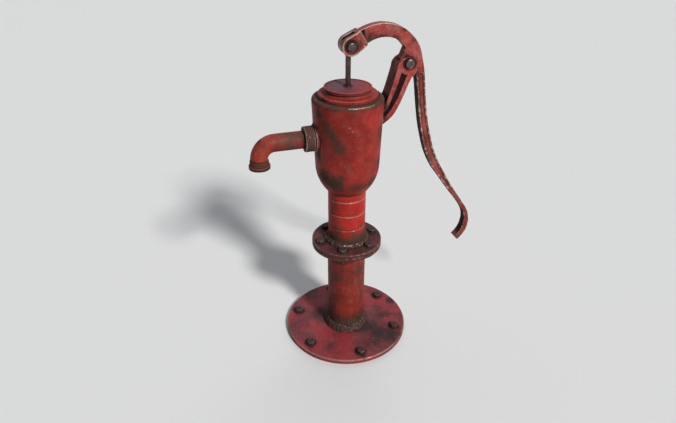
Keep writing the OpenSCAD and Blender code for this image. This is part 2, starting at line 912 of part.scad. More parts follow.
base_plate();
anchor_bolts();
foot_weld();
suction_socket();
stand_pipe();
lower_flange();
gasket();
flap_leather();
flap_weight();
flap_rivet();
upper_flange();
flange_bolts();
flange_nuts();
barrel();
barrel_weld();
bowl();
spout_washer();
spout_collar();
spout_pipe();
spout_nose();
cap();
cap_screws();
rod_bush();
handle_bracket();
fulcrum_pin();
fulcrum_washer();
fulcrum_cotter();
lever();
fork_pin();
fork_washer();
fork_cotter();
rod_head();
piston_rod();
valve_stop();
plunger_valve();
plunger_body();
cup_leather();
plunger_follower();
plunger_nut();
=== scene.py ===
"""Looks of the hand well pump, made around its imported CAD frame.

Turned, cast and welded pieces are remade here as finer meshes in the frame's own place and size, with worn
edges and stains marked on their points, and every surface gets the finish of what it is made of.
"""

import logging
import math
import random
from collections.abc import Callable, Sequence
from dataclasses import dataclass, field
from enum import Enum

import bmesh
import bpy
import numpy as np
from mathutils import Matrix, Vector, noise
from mathutils.bvhtree import BVHTree


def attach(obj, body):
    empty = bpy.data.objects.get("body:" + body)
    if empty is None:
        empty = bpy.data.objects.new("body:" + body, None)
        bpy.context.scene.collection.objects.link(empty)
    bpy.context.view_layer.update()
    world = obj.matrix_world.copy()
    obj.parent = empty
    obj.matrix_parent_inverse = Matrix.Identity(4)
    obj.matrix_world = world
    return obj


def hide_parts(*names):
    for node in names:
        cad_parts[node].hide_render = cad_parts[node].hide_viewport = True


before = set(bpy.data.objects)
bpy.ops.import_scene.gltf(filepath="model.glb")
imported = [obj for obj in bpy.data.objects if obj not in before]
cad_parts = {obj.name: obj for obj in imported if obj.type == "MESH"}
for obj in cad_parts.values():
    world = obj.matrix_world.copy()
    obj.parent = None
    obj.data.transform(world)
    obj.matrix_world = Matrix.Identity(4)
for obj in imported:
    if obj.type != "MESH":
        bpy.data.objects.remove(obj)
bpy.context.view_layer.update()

log = logging.getLogger("hand_well_pump")

MM = 0.001
TURN = 2 * math.pi
Shape = Callable[[np.ndarray, np.ndarray, np.ndarray], tuple[np.ndarray, np.ndarray]]


class Body(Enum):
    """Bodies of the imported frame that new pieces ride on."""

    PUMP = "pump"
    HANDLE = "handle"
    ROD = "rod"


class Mark(Enum):
    """What a mesh's points tell its finish, each from 0 to 1."""

    EDGE = "edge"
    HOLLOW = "hollow"
    STAIN = "stain"
    SCUFF = "scuff"
    # dust on upward faces, which also carries a painted sky sheen
    DUST_AND_SKY_SHEEN = "dust_and_sky_sheen"


# Meshes


@dataclass(frozen=True)
class Corner:
    """A corner of a turned profile: distance from the axis, height and rounding, in mm."""

    r: float
    z: float
    soft: float = 0.0


@dataclass
class Solid:
    """A mesh in the making: points in mm and the faces between them."""

    points: np.ndarray
    faces: list[tuple[int, ...]]

    def placed(self, matrix: Matrix) -> "Solid":
        """The same mesh moved by a matrix in mm."""
        m = np.array(matrix)
        return Solid(self.points @ m[:3, :3].T + m[:3, 3], self.faces)

    def __add__(self, other: "Solid") -> "Solid":
        """Both meshes as one."""
        shift = len(self.points)
        moved = [tuple(i + shift for i in f) for f in other.faces]
        return Solid(np.vstack([self.points, other.points]), self.faces + moved)

    def as_object(self, name: str) -> bpy.types.Object:
        """Makes the Blender object, with doubled points merged and its faces turned outwards.

        Args:
            name: the piece's name.
        Returns:
            The linked, smooth-shaded object.
        """
        mesh = bpy.data.meshes.new(name)
        mesh.from_pydata((self.points * MM).tolist(), [], self.faces)
        clean(mesh)
        return linked(name, mesh)


def clean(mesh: bpy.types.Mesh) -> None:
    """Merges doubled points and turns the faces outwards."""
    bm = bmesh.new()
    bm.from_mesh(mesh)
    bmesh.ops.remove_doubles(bm, verts=bm.verts, dist=2e-6)
    bmesh.ops.dissolve_degenerate(bm, edges=bm.edges, dist=1e-7)
    bmesh.ops.recalc_face_normals(bm, faces=bm.faces)
    bm.to_mesh(mesh)
    bm.free()


def linked(name: str, mesh: bpy.types.Mesh) -> bpy.types.Object:
    """Puts a mesh into the scene, smooth-shaded."""
    mesh.shade_smooth()
    made = bpy.data.objects.new(name, mesh)
    bpy.context.scene.collection.objects.link(made)
    return made


def profile(corners: Sequence[Corner], step: float = 3.0, closed: bool = True) -> np.ndarray:
    """Draws a profile through corners, rounds them and sets points along it.

    Args:
        corners: the corners in order.
        step: the longest distance between two points, in mm.
        closed: whether the last corner joins the first.
    Returns:
        Rows of (r, z) in mm.
    """
    count = len(corners)
    at = [np.array((c.r, c.z)) for c in corners]
    line: list[np.ndarray] = []
    for i, corner in enumerate(corners):
        inner = closed or 0 < i < count - 1
        if corner.soft <= 0 or not inner:
            line.append(at[i])
            continue
        arms = []
        for other in (at[i - 1], at[(i + 1) % count]):
            arm = other - at[i]
            length = np.linalg.norm(arm)
            arms.append(arm / length * min(corner.soft, 0.49 * length))
        for u in np.linspace(0, 1, 6):
            line.append(at[i] + arms[0] * (1 - u) ** 2 + arms[1] * u**2)
    if closed:
        line.append(line[0])
    spaced = [line[0]]
    for a, b in zip(line, line[1:]):
        cuts = max(1, math.ceil(np.linalg.norm(b - a) / step))
        spaced += [a + (b - a) * k / cuts for k in range(1, cuts + 1)]
    return np.array(spaced[:-1] if closed else spaced)


def arc(r: float, z: float, radius: float, start: float, end: float, count: int) -> list[Corner]:
    """Corners along an arc round (r, z), from one angle to another in degrees."""
    turns = np.radians(np.linspace(start, end, count))
    return [Corner(r + radius * math.cos(a), z + radius * math.sin(a)) for a in turns]


def grid(points: np.ndarray, loop: bool) -> Solid:
    """Faces over rows of points whose ends meet, with the last row joined to the first if loop is set."""
    rows, cols = points.shape[:2]
    faces = []
    for i in range(rows if loop else rows - 1):
        a, b = i * cols, (i + 1) % rows * cols
        faces += [(a + j, a + (j + 1) % cols, b + (j + 1) % cols, b + j) for j in range(cols)]
    return Solid(points.reshape(-1, 3), faces)


def turned(line: np.ndarray, segments: int, closed: bool = True, shape: Shape | None = None) -> Solid:
    """Turns a profile about the Z axis.

    Args:
        line: rows of (r, z) in mm.
        segments: steps in a full turn.
        closed: whether the profile is a loop; an open one starts and ends on the axis.
        shape: changes r and z by the angle, for hexagons, beads and threads.
    Returns:
        The mesh.
    """
    theta = np.linspace(0, TURN, segments, endpoint=False)[None, :]
    r = np.repeat(line[:, :1], segments, axis=1)
    z = np.repeat(line[:, 1:], segments, axis=1)
    if shape:
        r, z = shape(np.broadcast_to(theta, r.shape), r, z)
    return grid(np.stack([r * np.cos(theta), r * np.sin(theta), z], axis=2), closed)


def swept(path: np.ndarray, radii: np.ndarray, segments: int) -> Solid:
    """A round bar along a path, with closed ends.

    Args:
        path: points of the bar's axis, in mm.
        radii: the bar's radius at each point.
        segments: steps round the bar.
    Returns:
        The mesh.
    """
    along = np.gradient(path, axis=0)
    along /= np.linalg.norm(along, axis=1)[:, None]
    side = np.cross(along[0], (0.31, 0.87, 0.38))
    rows = []
    phi = np.linspace(0, TURN, segments, endpoint=False)[:, None]
    for centre, ahead, radius in zip(path, along, radii):
        side = side - ahead * (side @ ahead)
        side /= np.linalg.norm(side)
        up = np.cross(ahead, side)
        rows.append(centre + radius * (np.cos(phi) * side + np.sin(phi) * up))
    ends = [np.repeat(path[[k]], segments, axis=0) for k in (0, -1)]
    return grid(np.array([ends[0], *rows, ends[1]]), False)


def wobble(points: np.ndarray, size: float, seed: float) -> np.ndarray:
    """Smooth noise from -1 to 1 at points in mm, with lumps of a size in mm."""
    return np.array([noise.noise(Vector(p) / size + Vector((seed, -seed, 2 * seed))) for p in points.tolist()])


def coords(mesh: bpy.types.Mesh) -> np.ndarray:
    """A mesh's points as rows, in mm."""
    flat = np.empty(len(mesh.vertices) * 3)
    mesh.vertices.foreach_get("co", flat)
    return flat.reshape(-1, 3) / MM


def put(mesh: bpy.types.Mesh, points: np.ndarray) -> None:
    """Moves a mesh's points to rows in mm."""
    mesh.vertices.foreach_set("co", (points * MM).ravel())
    mesh.update()


def normals(mesh: bpy.types.Mesh) -> np.ndarray:
    """The directions that a mesh's points face."""
    flat = np.empty(len(mesh.vertices) * 3, np.float32)
    mesh.vertex_normals.foreach_get("vector", flat)
    return flat.reshape(-1, 3).astype(float)


def pairs(mesh: bpy.types.Mesh) -> np.ndarray:
    """The two point numbers of each edge."""
    flat = np.empty(len(mesh.edges) * 2, np.int32)
    mesh.edges.foreach_get("vertices", flat)
    return flat.reshape(-1, 2)


def spread(values: np.ndarray, ends: np.ndarray, rounds: int, share: float = 0.5) -> np.ndarray:
    """Evens values out between neighbouring points.

    Args:
        values: one row for each point.
        ends: the edges' point numbers.
        rounds: how often.
        share: how far a point goes towards its neighbours' mean.
    Returns:
        The evened values.
    """
    count = len(values)
    degree = np.maximum(np.bincount(ends.ravel(), minlength=count), 1)
    flat = values.reshape(count, -1)
    for _ in range(rounds):
        mean = np.empty_like(flat)
        for k in range(flat.shape[1]):
            total = np.bincount(ends[:, 0], flat[ends[:, 1], k], count)
            total += np.bincount(ends[:, 1], flat[ends[:, 0], k], count)
            mean[:, k] = total / degree
        flat = flat + (mean - flat) * share
    return flat.reshape(values.shape)


def roughen(obj: bpy.types.Object, size: float, height: float, seed: float) -> None:
    """Gives a surface the unevenness of a casting or of hot work, inwards by up to a height in mm."""
    at = coords(obj.data)
    put(obj.data, at + normals(obj.data) * ((wobble(at, size, seed) - 1) * height / 2)[:, None])


def mark(obj: bpy.types.Object, kind: Mark, values: np.ndarray, over: bool = False) -> None:
    """Keeps a value on each point for the finish to read.

    Args:
        obj: the piece.
        kind: what the value tells.
        values: one value for each point, held between 0 and 1.
        over: whether earlier values stay where they are higher.
    """
    values = np.clip(values, 0, 1).astype(np.float32)
    layer = obj.data.attributes.get(kind.value)
    if layer and over:
        before = np.empty(len(values), np.float32)
        layer.data.foreach_get("value", before)
        values = np.maximum(values, before)
    layer = layer or obj.data.attributes.new(kind.value, "FLOAT", "POINT")
    layer.data.foreach_set("value", values)


def mark_wear(obj: bpy.types.Object, rounds: int = 2, sharpest: float = 2.5, dirt: float = 1.0) -> np.ndarray:
    """Marks edges that wear bright, hollows holding dirt and painted shade, and tops with dust and painted sky sheen.

    Args:
        obj: the piece.
        rounds: how far the wear spreads from the edge, in steps of the mesh.
        sharpest: the bend radius in mm that counts as a full edge.
        dirt: how much dirt and painted shade the hollows hold.
    Returns:
        The edges' wear at each point.
    """
    at, facing, ends = coords(obj.data), normals(obj.data), pairs(obj.data)
    step = at[ends[:, 0]] - at[ends[:, 1]]
    turn = facing[ends[:, 0]] - facing[ends[:, 1]]
    bend = (step * turn).sum(1) / np.maximum((step**2).sum(1), 1e-4)
    count = len(at)
    convex, concave = np.zeros(count), np.zeros(count)
    for k in (0, 1):
        np.maximum.at(convex, ends[:, k], bend)
        np.maximum.at(concave, ends[:, k], -bend)
    gentle = 0.05
    edge, hollow = (
        spread(np.clip((value - gentle) * sharpest, 0, 1), ends, rounds) * 1.3 for value in (convex, concave)
    )
    mark(obj, Mark.EDGE, edge)
    # hollows and shut-in places: dirt, and painted shade
    mark(obj, Mark.HOLLOW, dirt * np.maximum(hollow * 0.8, spread(NEARBY.shelter(at, facing), ends, 14)))
    # upward faces: dust, and a painted sky sheen
    mark(obj, Mark.DUST_AND_SKY_SHEEN, (facing[:, 2] - 0.6) / 0.4)
    return edge


class Surroundings:
    """All solids of the frame at rest, for how far they shut a place in, to mark dirt and painted shade there."""

    def __init__(self) -> None:
        """Gathers the solids' faces."""
        points: list[Vector] = []
        faces: list[list[int]] = []
        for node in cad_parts.values():
            shift = len(points)
            points += [v.co / MM for v in node.data.vertices]
            faces += [[i + shift for i in f.vertices] for f in node.data.polygons]
        self.tree = BVHTree.FromPolygons(points, faces)

    def shelter(self, at: np.ndarray, facing: np.ndarray, reach: float = 20.0, rays: int = 10) -> np.ndarray:
        """How closely places are shut in, from 0 to 1.

        Args:
            at: the places, in mm.
            facing: the directions that they face.
            reach: how far away a solid still shelters, in mm.
            rays: directions tried from each place.
        Returns:
            One value for each place.
        """
        cell, clear = 5.0, 0.8
        key = np.round(np.hstack([at / cell, facing * 1.4])).astype(int)
        _, first, member = np.unique(key, axis=0, return_index=True, return_inverse=True)
        lift = 1 - (np.arange(rays) + 0.5) / rays
        spin = np.arange(rays) * 2.39996
        flat = np.sqrt(1 - lift)
        fan = np.stack([flat * np.cos(spin), flat * np.sin(spin), np.sqrt(lift)], axis=1)
        shut = np.zeros(len(first))
        for k, i in enumerate(first):
            out = Vector(facing[i])
            start = Vector(at[i]) + out * clear
            turn = np.array(out.to_track_quat("Z", "Y").to_matrix())
            for way in fan @ turn.T:
                away = self.tree.ray_cast(start, Vector(way), reach)[3]
                if away is not None:
                    shut[k] += 1 - away / reach
        return np.clip(shut / rays * 1.7 - 0.12, 0, 1)[member.ravel()]


NEARBY = Surroundings()


@dataclass(frozen=True)
class Spot:
    """A place where the paint has gone or the metal is stained: centre, reach along each axis, and strength."""

    at: tuple[float, float, float]
    reach: tuple[float, float, float]
    strength: float = 1.0


def mark_spots(obj: bpy.types.Object, kind: Mark, spots: Sequence[Spot]) -> None:
    """Marks spots on a piece, strongest at their centres."""
    at = coords(obj.data)
    value = np.zeros(len(at))
    for spot in spots:
        off = np.linalg.norm((at - np.array(spot.at)) / np.array(spot.reach), axis=1)
        near = np.clip(1 - off, 0, 1)
        value = np.maximum(value, spot.strength * near * near * (3 - 2 * near))
    mark(obj, kind, value)


def cast_from(node: str, name: str, voxel: float, rounds: int) -> bpy.types.Object:
    """A casting in the shape of a CAD node, its sharp edges drawn round as a mould leaves them.

    Args:
        node: the CAD node.
        name: the piece's name.
        voxel: size of the new faces, in mm.
        rounds: how often the skin is evened out.
    Returns:
        The object.
    """
    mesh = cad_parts[node].data.copy()
    mesh.materials.clear()
    clean(mesh)
    made = linked(name, mesh)
    skin = made.modifiers.new("skin", "REMESH")
    skin.mode = "VOXEL"
    skin.voxel_size = voxel * MM
    depsgraph = bpy.context.evaluated_depsgraph_get()
    fine = bpy.data.meshes.new_from_object(made.evaluated_get(depsgraph))
    made.modifiers.clear()
    made.data = fine
    fine.name = name
    fine.shade_smooth()
    at, ends = coords(fine), pairs(fine)
    inward, outward = 0.5, -0.52
    for _ in range(rounds):
        at = spread(spread(at, ends, 1, inward), ends, 1, outward)
    put(fine, spread(at, ends, 1, inward))
    return made


def hexagon(flats: float, top: float) -> Shape:
    """Shape of a hexagon of a width across the flats, with its upper corners taken off at a height, in mm."""
    crown = math.tan(math.radians(30))
    corner = 1.125

    def shape(theta: np.ndarray, r: np.ndarray, z: np.ndarray) -> tuple[np.ndarray, np.ndarray]:
        """Draws the outermost points out to the flats."""
        off = (theta + math.pi / 6) % (math.pi / 3) - math.pi / 6
        flat = np.minimum(flats / 2 / np.cos(off), flats / 2 * corner)
        side = np.minimum(flat, flats / 2 * 0.97 + np.maximum(top - z, 0) / crown)
        return np.where(r >= flats / 2 - 1e-6, side, r), z

    return shape


# Finishes


def linear(shade: str) -> tuple[float, float, float, float]:
    """An sRGB hex value as linear colour."""
    parts = [int(shade[i : i + 2], 16) / 255 for i in (1, 3, 5)]
    r, g, b = (c / 12.92 if c <= 0.04045 else ((c + 0.055) / 1.055) ** 2.4 for c in parts)
    return r, g, b, 1.0


def per_mm(size: float) -> float:
    """A pattern's scale for features of a size in mm, as object coordinates are in metres."""
    return 1 / (size * MM)


NOISE = "ShaderNodeTexNoise"
MATH = "ShaderNodeMath"
MIX = "ShaderNodeMix"
STEP = "ShaderNodeMapRange"
BUMP = "ShaderNodeBump"
SURFACE = "ShaderNodeBsdfPrincipled"


def add(
    tree: bpy.types.NodeTree, kind: str, inputs: dict | None = None, out: int | str = 0, **settings: object
) -> bpy.types.NodeSocket | None:
    """Adds a node with its settings and links.

    Args:
        tree: the material's nodes.
        kind: the node's type name.
        inputs: what each input takes, by name or number: another node's output, or a plain value.
        out: the output that the caller wants.
        settings: the node's own settings.
    Returns:
        The output, or None where the node has none.
    """
    made = tree.nodes.new(kind)
    for key, value in settings.items():
        setattr(made, key, value)
    for key, value in (inputs or {}).items():
        if isinstance(value, bpy.types.NodeSocket):
            tree.links.new(value, made.inputs[key])
        else:
            made.inputs[key].default_value = value
    return made.outputs[out] if made.outputs else None


@dataclass(frozen=True)
class Finish:
    """What a surface is made of and how it was made."""

    title: str

    def material(self) -> bpy.types.Material:
        """The finish's material, made once."""
        made = bpy.data.materials.get(self.title)
        if made is None:
            made = bpy.data.materials.new(self.title)
            made.use_nodes = True
            made.node_tree.nodes.clear()
            add(made.node_tree, "ShaderNodeOutputMaterial", {"Surface": self.surface(made.node_tree)})
        return made

    def surface(self, tree: bpy.types.NodeTree) -> bpy.types.NodeSocket:
        """Adds the finish's nodes and returns its shader."""
        raise NotImplementedError


@dataclass(frozen=True)
class WornPaint(Finish):
    """Brushed oil paint on iron, decades outdoors.

    The eye sees a red that drifts between bright and deep, dusty on what faces the sky with a painted sky sheen there,
    brown where dirt has run down, darkened in hollows by dirt and painted shade, rusted through in patches with ragged
    rims, and rubbed pale and then to the metal along edges.
    """

    paint: str = "#b42f23"
    deep: str = "#8a211a"
    chalk: str = "#b4635a"
    # colour of dust on upward faces, which also paints a sky sheen there
    dust_and_sky_sheen: str = "#855a66"
    # colour of dirt, which also paints shade in hollows, shut-in places and faces turned from the lamp
    grime_and_shade: str = "#261b17"
    rust: str = "#352b25"
    rust_light: str = "#5e4233"
    metal: str = "#94897e"
    drift_mm: float = 60.0
    cloud_mm: float = 26.0
    chip_mm: float = 8.0
    grit_mm: float = 3.2
    run_mm: float = 9.0
    run_way: tuple[float, float, float] = (1.0, 1.0, 0.16)
    run_turn: float = 0.0
    fade: float = 0.35
    speckle: float = 0.8
    # share of the dust and painted sky sheen on upward faces
    dusty: float = 0.5
    grime_share: float = 0.55
    stain_loss: float = 0.55
    holds: float = 0.4
    edge_loss: float = 0.12
    shine: float = 0.42
    gloss: float = 0.5
    pits: float = 0.5

    def surface(self, tree: bpy.types.NodeTree) -> bpy.types.NodeSocket:
        """Layers dust, dirt, rust and rubbed edges over the paint."""
        place = add(tree, "ShaderNodeTexCoord", out="Object")
        hang = add(
            tree,
            "ShaderNodeMapping",
            {"Vector": place, "Rotation": (0.0, 0.0, math.radians(self.run_turn)), "Scale": self.run_way},
        )
        drift, cloud, chip, grit, runs = (
            add(tree, NOISE, {"Vector": at, "Scale": per_mm(size), "Detail": detail, "Roughness": rough})
            for at, size, detail, rough in (
                (place, self.drift_mm, 4.0, 0.6),
                (place, self.cloud_mm, 8.0, 0.7),
                (place, self.chip_mm, 6.0, 0.66),
                (place, self.grit_mm, 3.0, 0.6),
                (hang, self.run_mm, 6.0, 0.66),
            )
        )
        edge, hollow, stain, scuff, sky = (
            add(tree, "ShaderNodeAttribute", attribute_name=kind.value, out="Fac") for kind in Mark
        )
        sums: list[bpy.types.NodeSocket | float] = []
        for start, terms in (
            (-1.15, ((cloud, 1.1), (chip, 0.8), (grit, 0.4), (stain, self.stain_loss), (edge, self.edge_loss))),
            (-1.1, ((chip, 1.5), (grit, 0.7), (edge, self.shine), (scuff, 0.7))),
            (-0.5, ((runs, self.grime_share), (cloud, 0.45), (hollow, 0.8), (stain, 0.45))),
            (-0.75, ((chip, 0.9), (grit, 0.6), (edge, 0.42), (scuff, 0.6))),
        ):
            total: bpy.types.NodeSocket | float = start
            for part, weight in terms:
                total = add(tree, MATH, {0: part, 1: weight, 2: total}, operation="MULTIPLY_ADD")
            sums.append(total)
        # the third sum mixes dirt with the painted shade that the hollow mark carries
        loss, rub, soil_and_shade, pale = sums
        deep, speck, fleck, fade, dust_and_sky_sheen, worn, dirt, rim, lost, bare = (
            add(tree, STEP, {0: value, 1: low, 2: high, 4: most}, interpolation_type="SMOOTHSTEP")
            for value, low, high, most in (
                (drift, 0.36, 0.64, 1.0),
                (grit, 0.5, 0.68, self.speckle),
                (grit, 0.45, 0.3, self.speckle / 2),
                (cloud, 0.42, 0.75, self.fade),
                (sky, 0.0, 1.0, self.dusty),
                (pale, 0.15, 0.7, 0.7),
                # dirt and painted shade go almost fully to their colour, near black in deep hollows
                (soil_and_shade, 0.0, 0.55, 0.98),
                (loss, self.holds - 0.3, self.holds + 0.04, 0.7),
                (loss, self.holds - 0.18, self.holds + 0.22, 0.95),
                (rub, 0.48, 0.64, 0.95),
            )
        )
        rust = add(tree, MIX, {0: chip, 6: linear(self.rust), 7: linear(self.rust_light)}, out=2, data_type="RGBA")
        colour: object = linear(self.paint)
        rough: object = self.gloss
        for share, shade, roughness in (
            (deep, linear(self.deep), self.gloss + 0.06),
            (speck, linear(self.deep), self.gloss + 0.1),
            (fleck, linear(self.chalk), self.gloss + 0.1),
            (fade, linear(self.chalk), self.gloss + 0.16),
            # dust and painted sky sheen
            (dust_and_sky_sheen, linear(self.dust_and_sky_sheen), self.gloss + 0.04),
            (worn, linear(self.chalk), self.gloss + 0.1),
            # dirt and painted shade
            (dirt, linear(self.grime_and_shade), 0.8),
            (rim, linear(self.rust_light), 0.76),
            (lost, rust, 0.9),
            (bare, linear(self.metal), 0.4),
        ):
            colour = add(tree, MIX, {0: share, 6: colour, 7: shade}, out=2, data_type="RGBA")
            rough = add(tree, MIX, {0: share, 2: rough, 3: roughness})
        height: bpy.types.NodeSocket | float = 0.0
        for part, weight in ((cloud, 0.6), (chip, 0.4), (grit, 0.3), (lost, -0.35)):
            height = add(tree, MATH, {0: part, 1: weight, 2: height}, operation="MULTIPLY_ADD")
        bump = add(tree, BUMP, {"Strength": self.pits, "Distance": 1.0 * MM, "Height": height})
        metallic = add(tree, MATH, {0: bare, 1: 0.6}, operation="MULTIPLY")
        sheen = 0.32
        return add(
            tree,
            SURFACE,
            {
                "Base Color": colour,
                "Roughness": rough,
                "Metallic": metallic,
                "Specular IOR Level": sheen,
                "Normal": bump,
            },
        )


@dataclass(frozen=True)
class RustedIron(Finish):
    """Bare iron that has browned outdoors.

    The eye sees dull brown scale in two tones, darker in its pits, with a dusting of orange, leftovers of red paint
    and grey metal rubbed bare on the crests.
    """

    dark: str = "#231a15"
    brown: str = "#4d382c"
    orange: str = "#714c36"
    paint: str = "#7a2f27"
    metal: str = "#a0958a"
    cloud_mm: float = 11.0
    scale_mm: float = 3.2
    grit_mm: float = 0.9
    painted: float = 0.3
    shine: float = 0.6
    pits: float = 0.7

    def surface(self, tree: bpy.types.NodeTree) -> bpy.types.NodeSocket:
        """Mixes the tones of rust and rubs its crests bare."""
        place = add(tree, "ShaderNodeTexCoord", out="Object")
        cloud, scale, grit = (
            add(tree, NOISE, {"Vector": place, "Scale": per_mm(size), "Detail": 5.0, "Roughness": 0.65})
            for size in (self.cloud_mm, self.scale_mm, self.grit_mm)
        )
        edge, hollow, stain, *_ = (
            add(tree, "ShaderNodeAttribute", attribute_name=kind.value, out="Fac") for kind in Mark
        )
        rub: bpy.types.NodeSocket | float = 0.0
        for part, weight in ((edge, self.shine), (scale, 0.9), (grit, 0.5)):
            rub = add(tree, MATH, {0: part, 1: weight, 2: rub}, operation="MULTIPLY_ADD")
        # hollows darken the scale: dirt, and the painted shade that the hollow mark carries
        pit: bpy.types.NodeSocket | float = 0.0
        for part, weight in ((hollow, 0.7), (scale, 0.6), (stain, 0.5)):
            pit = add(tree, MATH, {0: part, 1: weight, 2: pit}, operation="MULTIPLY_ADD")
        orange, paint, dark, bare = (
            add(tree, STEP, {0: value, 1: low, 2: high, 4: most}, interpolation_type="SMOOTHSTEP")
            for value, low, high, most in (
                (scale, 0.45, 0.7, 0.7),
                (cloud, 0.5, 0.62, self.painted),
                (pit, 0.34, 0.8, 0.85),
                (rub, 1.18, 1.36, 0.85),
            )
        )
        colour: object = linear(self.brown)
        rough: object = 0.82
        for share, shade, roughness in (
            (orange, self.orange, 0.88),
            (paint, self.paint, 0.6),
            (dark, self.dark, 0.9),
            (bare, self.metal, 0.42),
        ):
            colour = add(tree, MIX, {0: share, 6: colour, 7: linear(shade)}, out=2, data_type="RGBA")
            rough = add(tree, MIX, {0: share, 2: rough, 3: roughness})
        height = add(tree, MATH, {0: grit, 1: 0.4, 2: scale}, operation="MULTIPLY_ADD")
        bump = add(tree, BUMP, {"Strength": self.pits, "Distance": 0.7 * MM, "Height": height})
        metallic = add(tree, MATH, {0: bare, 1: 0.85}, operation="MULTIPLY")
        return add(
            tree, SURFACE, {"Base Color": colour, "Roughness": rough, "Metallic": metallic, "Normal": bump}
        )


@dataclass(frozen=True)
class WorkedMetal(Finish):
    """Machined metal, handled and oiled.

    The eye sees a grey or golden metal with fine tool lines across it and clouds of brown tarnish that dull it.
    """

    metal: str = "#8f8981"
    tarnish: str = "#4a3d34"
    cloud_mm: float = 9.0
    line_mm: float = 0.7
    line_way: tuple[float, float, float] = (0.15, 0.15, 1.0)
    tarnished: float = 0.8
    low: float = 0.42
    gloss: float = 0.34

    def surface(self, tree: bpy.types.NodeTree) -> bpy.types.NodeSocket:
        """Draws tool lines over the metal and clouds it with tarnish."""
        place = add(tree, "ShaderNodeTexCoord", out="Object")
        across = add(tree, "ShaderNodeMapping", {"Vector": place, "Scale": self.line_way})
        cloud, lines = (
            add(tree, NOISE, {"Vector": at, "Scale": per_mm(size), "Detail": 5.0, "Roughness": 0.6})
            for at, size in ((place, self.cloud_mm), (across, self.line_mm))
        )
        edge, hollow, *_ = (
            add(tree, "ShaderNodeAttribute", attribute_name=kind.value, out="Fac") for kind in Mark
        )
        # hollows tarnish more, and so also take the painted shade that the hollow mark carries
        dull: bpy.types.NodeSocket | float = 0.0
        for part, weight in ((cloud, 1.0), (hollow, 0.5), (edge, -0.35), (lines, 0.12)):
            dull = add(tree, MATH, {0: part, 1: weight, 2: dull}, operation="MULTIPLY_ADD")
        brown = add(
            tree, STEP, {0: dull, 1: self.low, 2: self.low + 0.3, 4: self.tarnished}, interpolation_type="SMOOTHSTEP"
        )
        colour = add(
            tree, MIX, {0: brown, 6: linear(self.metal), 7: linear(self.tarnish)}, out=2, data_type="RGBA"
        )
        rough = add(tree, MIX, {0: brown, 2: self.gloss, 3: 0.72})
        metallic = add(tree, MIX, {0: brown, 2: 1.0, 3: 0.25})
        bump = add(tree, BUMP, {"Strength": 0.3, "Distance": 0.15 * MM, "Height": lines})
        return add(
            tree, SURFACE, {"Base Color": colour, "Roughness": rough, "Metallic": metallic, "Normal": bump}
        )


@dataclass(frozen=True)
class Hide(Finish):
    """Oiled leather or moulded rubber.

    The eye sees a dark, dull skin with pores close together and slow drifts of tone from handling.
    """

    tone: str = "#4e3524"
    dark: str = "#2a1c13"
    pore_mm: float = 1.1
    drift_mm: float = 14.0
    dull: float = 0.62

    def surface(self, tree: bpy.types.NodeTree) -> bpy.types.NodeSocket:
        """Sets pores into a drifting tone."""
        place = add(tree, "ShaderNodeTexCoord", out="Object")
        drift = add(tree, NOISE, {"Vector": place, "Scale": per_mm(self.drift_mm), "Detail": 4.0})
        pores = add(tree, "ShaderNodeTexVoronoi", {"Vector": place, "Scale": per_mm(self.pore_mm)})
        colour = add(tree, MIX, {0: drift, 6: linear(self.dark), 7: linear(self.tone)}, out=2, data_type="RGBA")
        rough = add(tree, STEP, {0: pores, 1: 0.0, 2: 0.8, 3: self.dull - 0.1, 4: self.dull + 0.15})
        bump = add(tree, BUMP, {"Strength": 0.35, "Distance": 0.25 * MM, "Height": pores})
        return add(tree, SURFACE, {"Base Color": colour, "Roughness": rough, "Normal": bump})


RED_CASTING = WornPaint("red_oil_paint_on_sand_cast_iron")
# bluish purple dust colour, which also paints the sky's reflection on the cap's top
CAP_PAINT = WornPaint(
    "dusty_red_paint_on_turned_cast_iron", dusty=0.85, dust_and_sky_sheen="#5b4053", grime_share=0.4, shine=0.3, fade=0.3
)
BARREL_PAINT = WornPaint(
    "red_oil_paint_on_turned_tube",
    paint="#d12b1d",
    deep="#ab2318",
    chalk="#dd8a80",
    grime_share=0.45,
    fade=0.12,
    speckle=0.35,
    shine=0.1,
)
SPOUT_PAINT = WornPaint(
    "browned_red_paint_on_bent_pipe",
    paint="#b83b28",
    deep="#8a3424",
    chalk="#b47565",
    rust="#4b3630",
    rust_light="#6e4f44",
    grime_share=0.65,
    speckle=0.5,
    dusty=0.15,
)
STAND_PAINT = WornPaint("browned_red_paint_on_drawn_pipe", paint="#a03121", deep="#6a2117", grime_share=0.75)
RED_PLATE = WornPaint(
    "crimson_paint_on_rolled_plate",
    paint="#a93136",
    deep="#66282d",
    chalk="#c08a82",
    dust_and_sky_sheen="#78404a",
    rust="#2b2326",
    rust_light="#463235",
    dusty=0.16,
    fade=0.2,
    shine=0.3,
    run_way=(1.0, 0.16, 1.0),
    run_turn=-40.0,
    run_mm=12.0,
    stain_loss=0.5,
)
FLANGE_PAINT = WornPaint(
    "grimy_red_paint_on_flange_plate",
    paint="#6c2a29",
    deep="#3f1f22",
    chalk="#875b55",
    dust_and_sky_sheen="#4e393e",
    grime_share=0.6,
    dusty=0.2,
    shine=0.46,
)
LEVER_PAINT = WornPaint(
    "sun_bleached_red_paint_on_cast_iron",
    paint="#bb453d",
    deep="#93322b",
    chalk="#cf8b82",
    # near-black dirt colour, which also paints the shade in the bracket's channel and under the lever's arm
    grime_and_shade="#130d0c",
    metal="#c4b3a2",
    fade=0.8,
    shine=0.44,
    dusty=0.1,
    grime_share=0.7,
)
WELD = RustedIron("rusted_arc_weld", shine=0.95, painted=0.6, brown="#4a332b", paint="#642a26", metal="#9a8676")
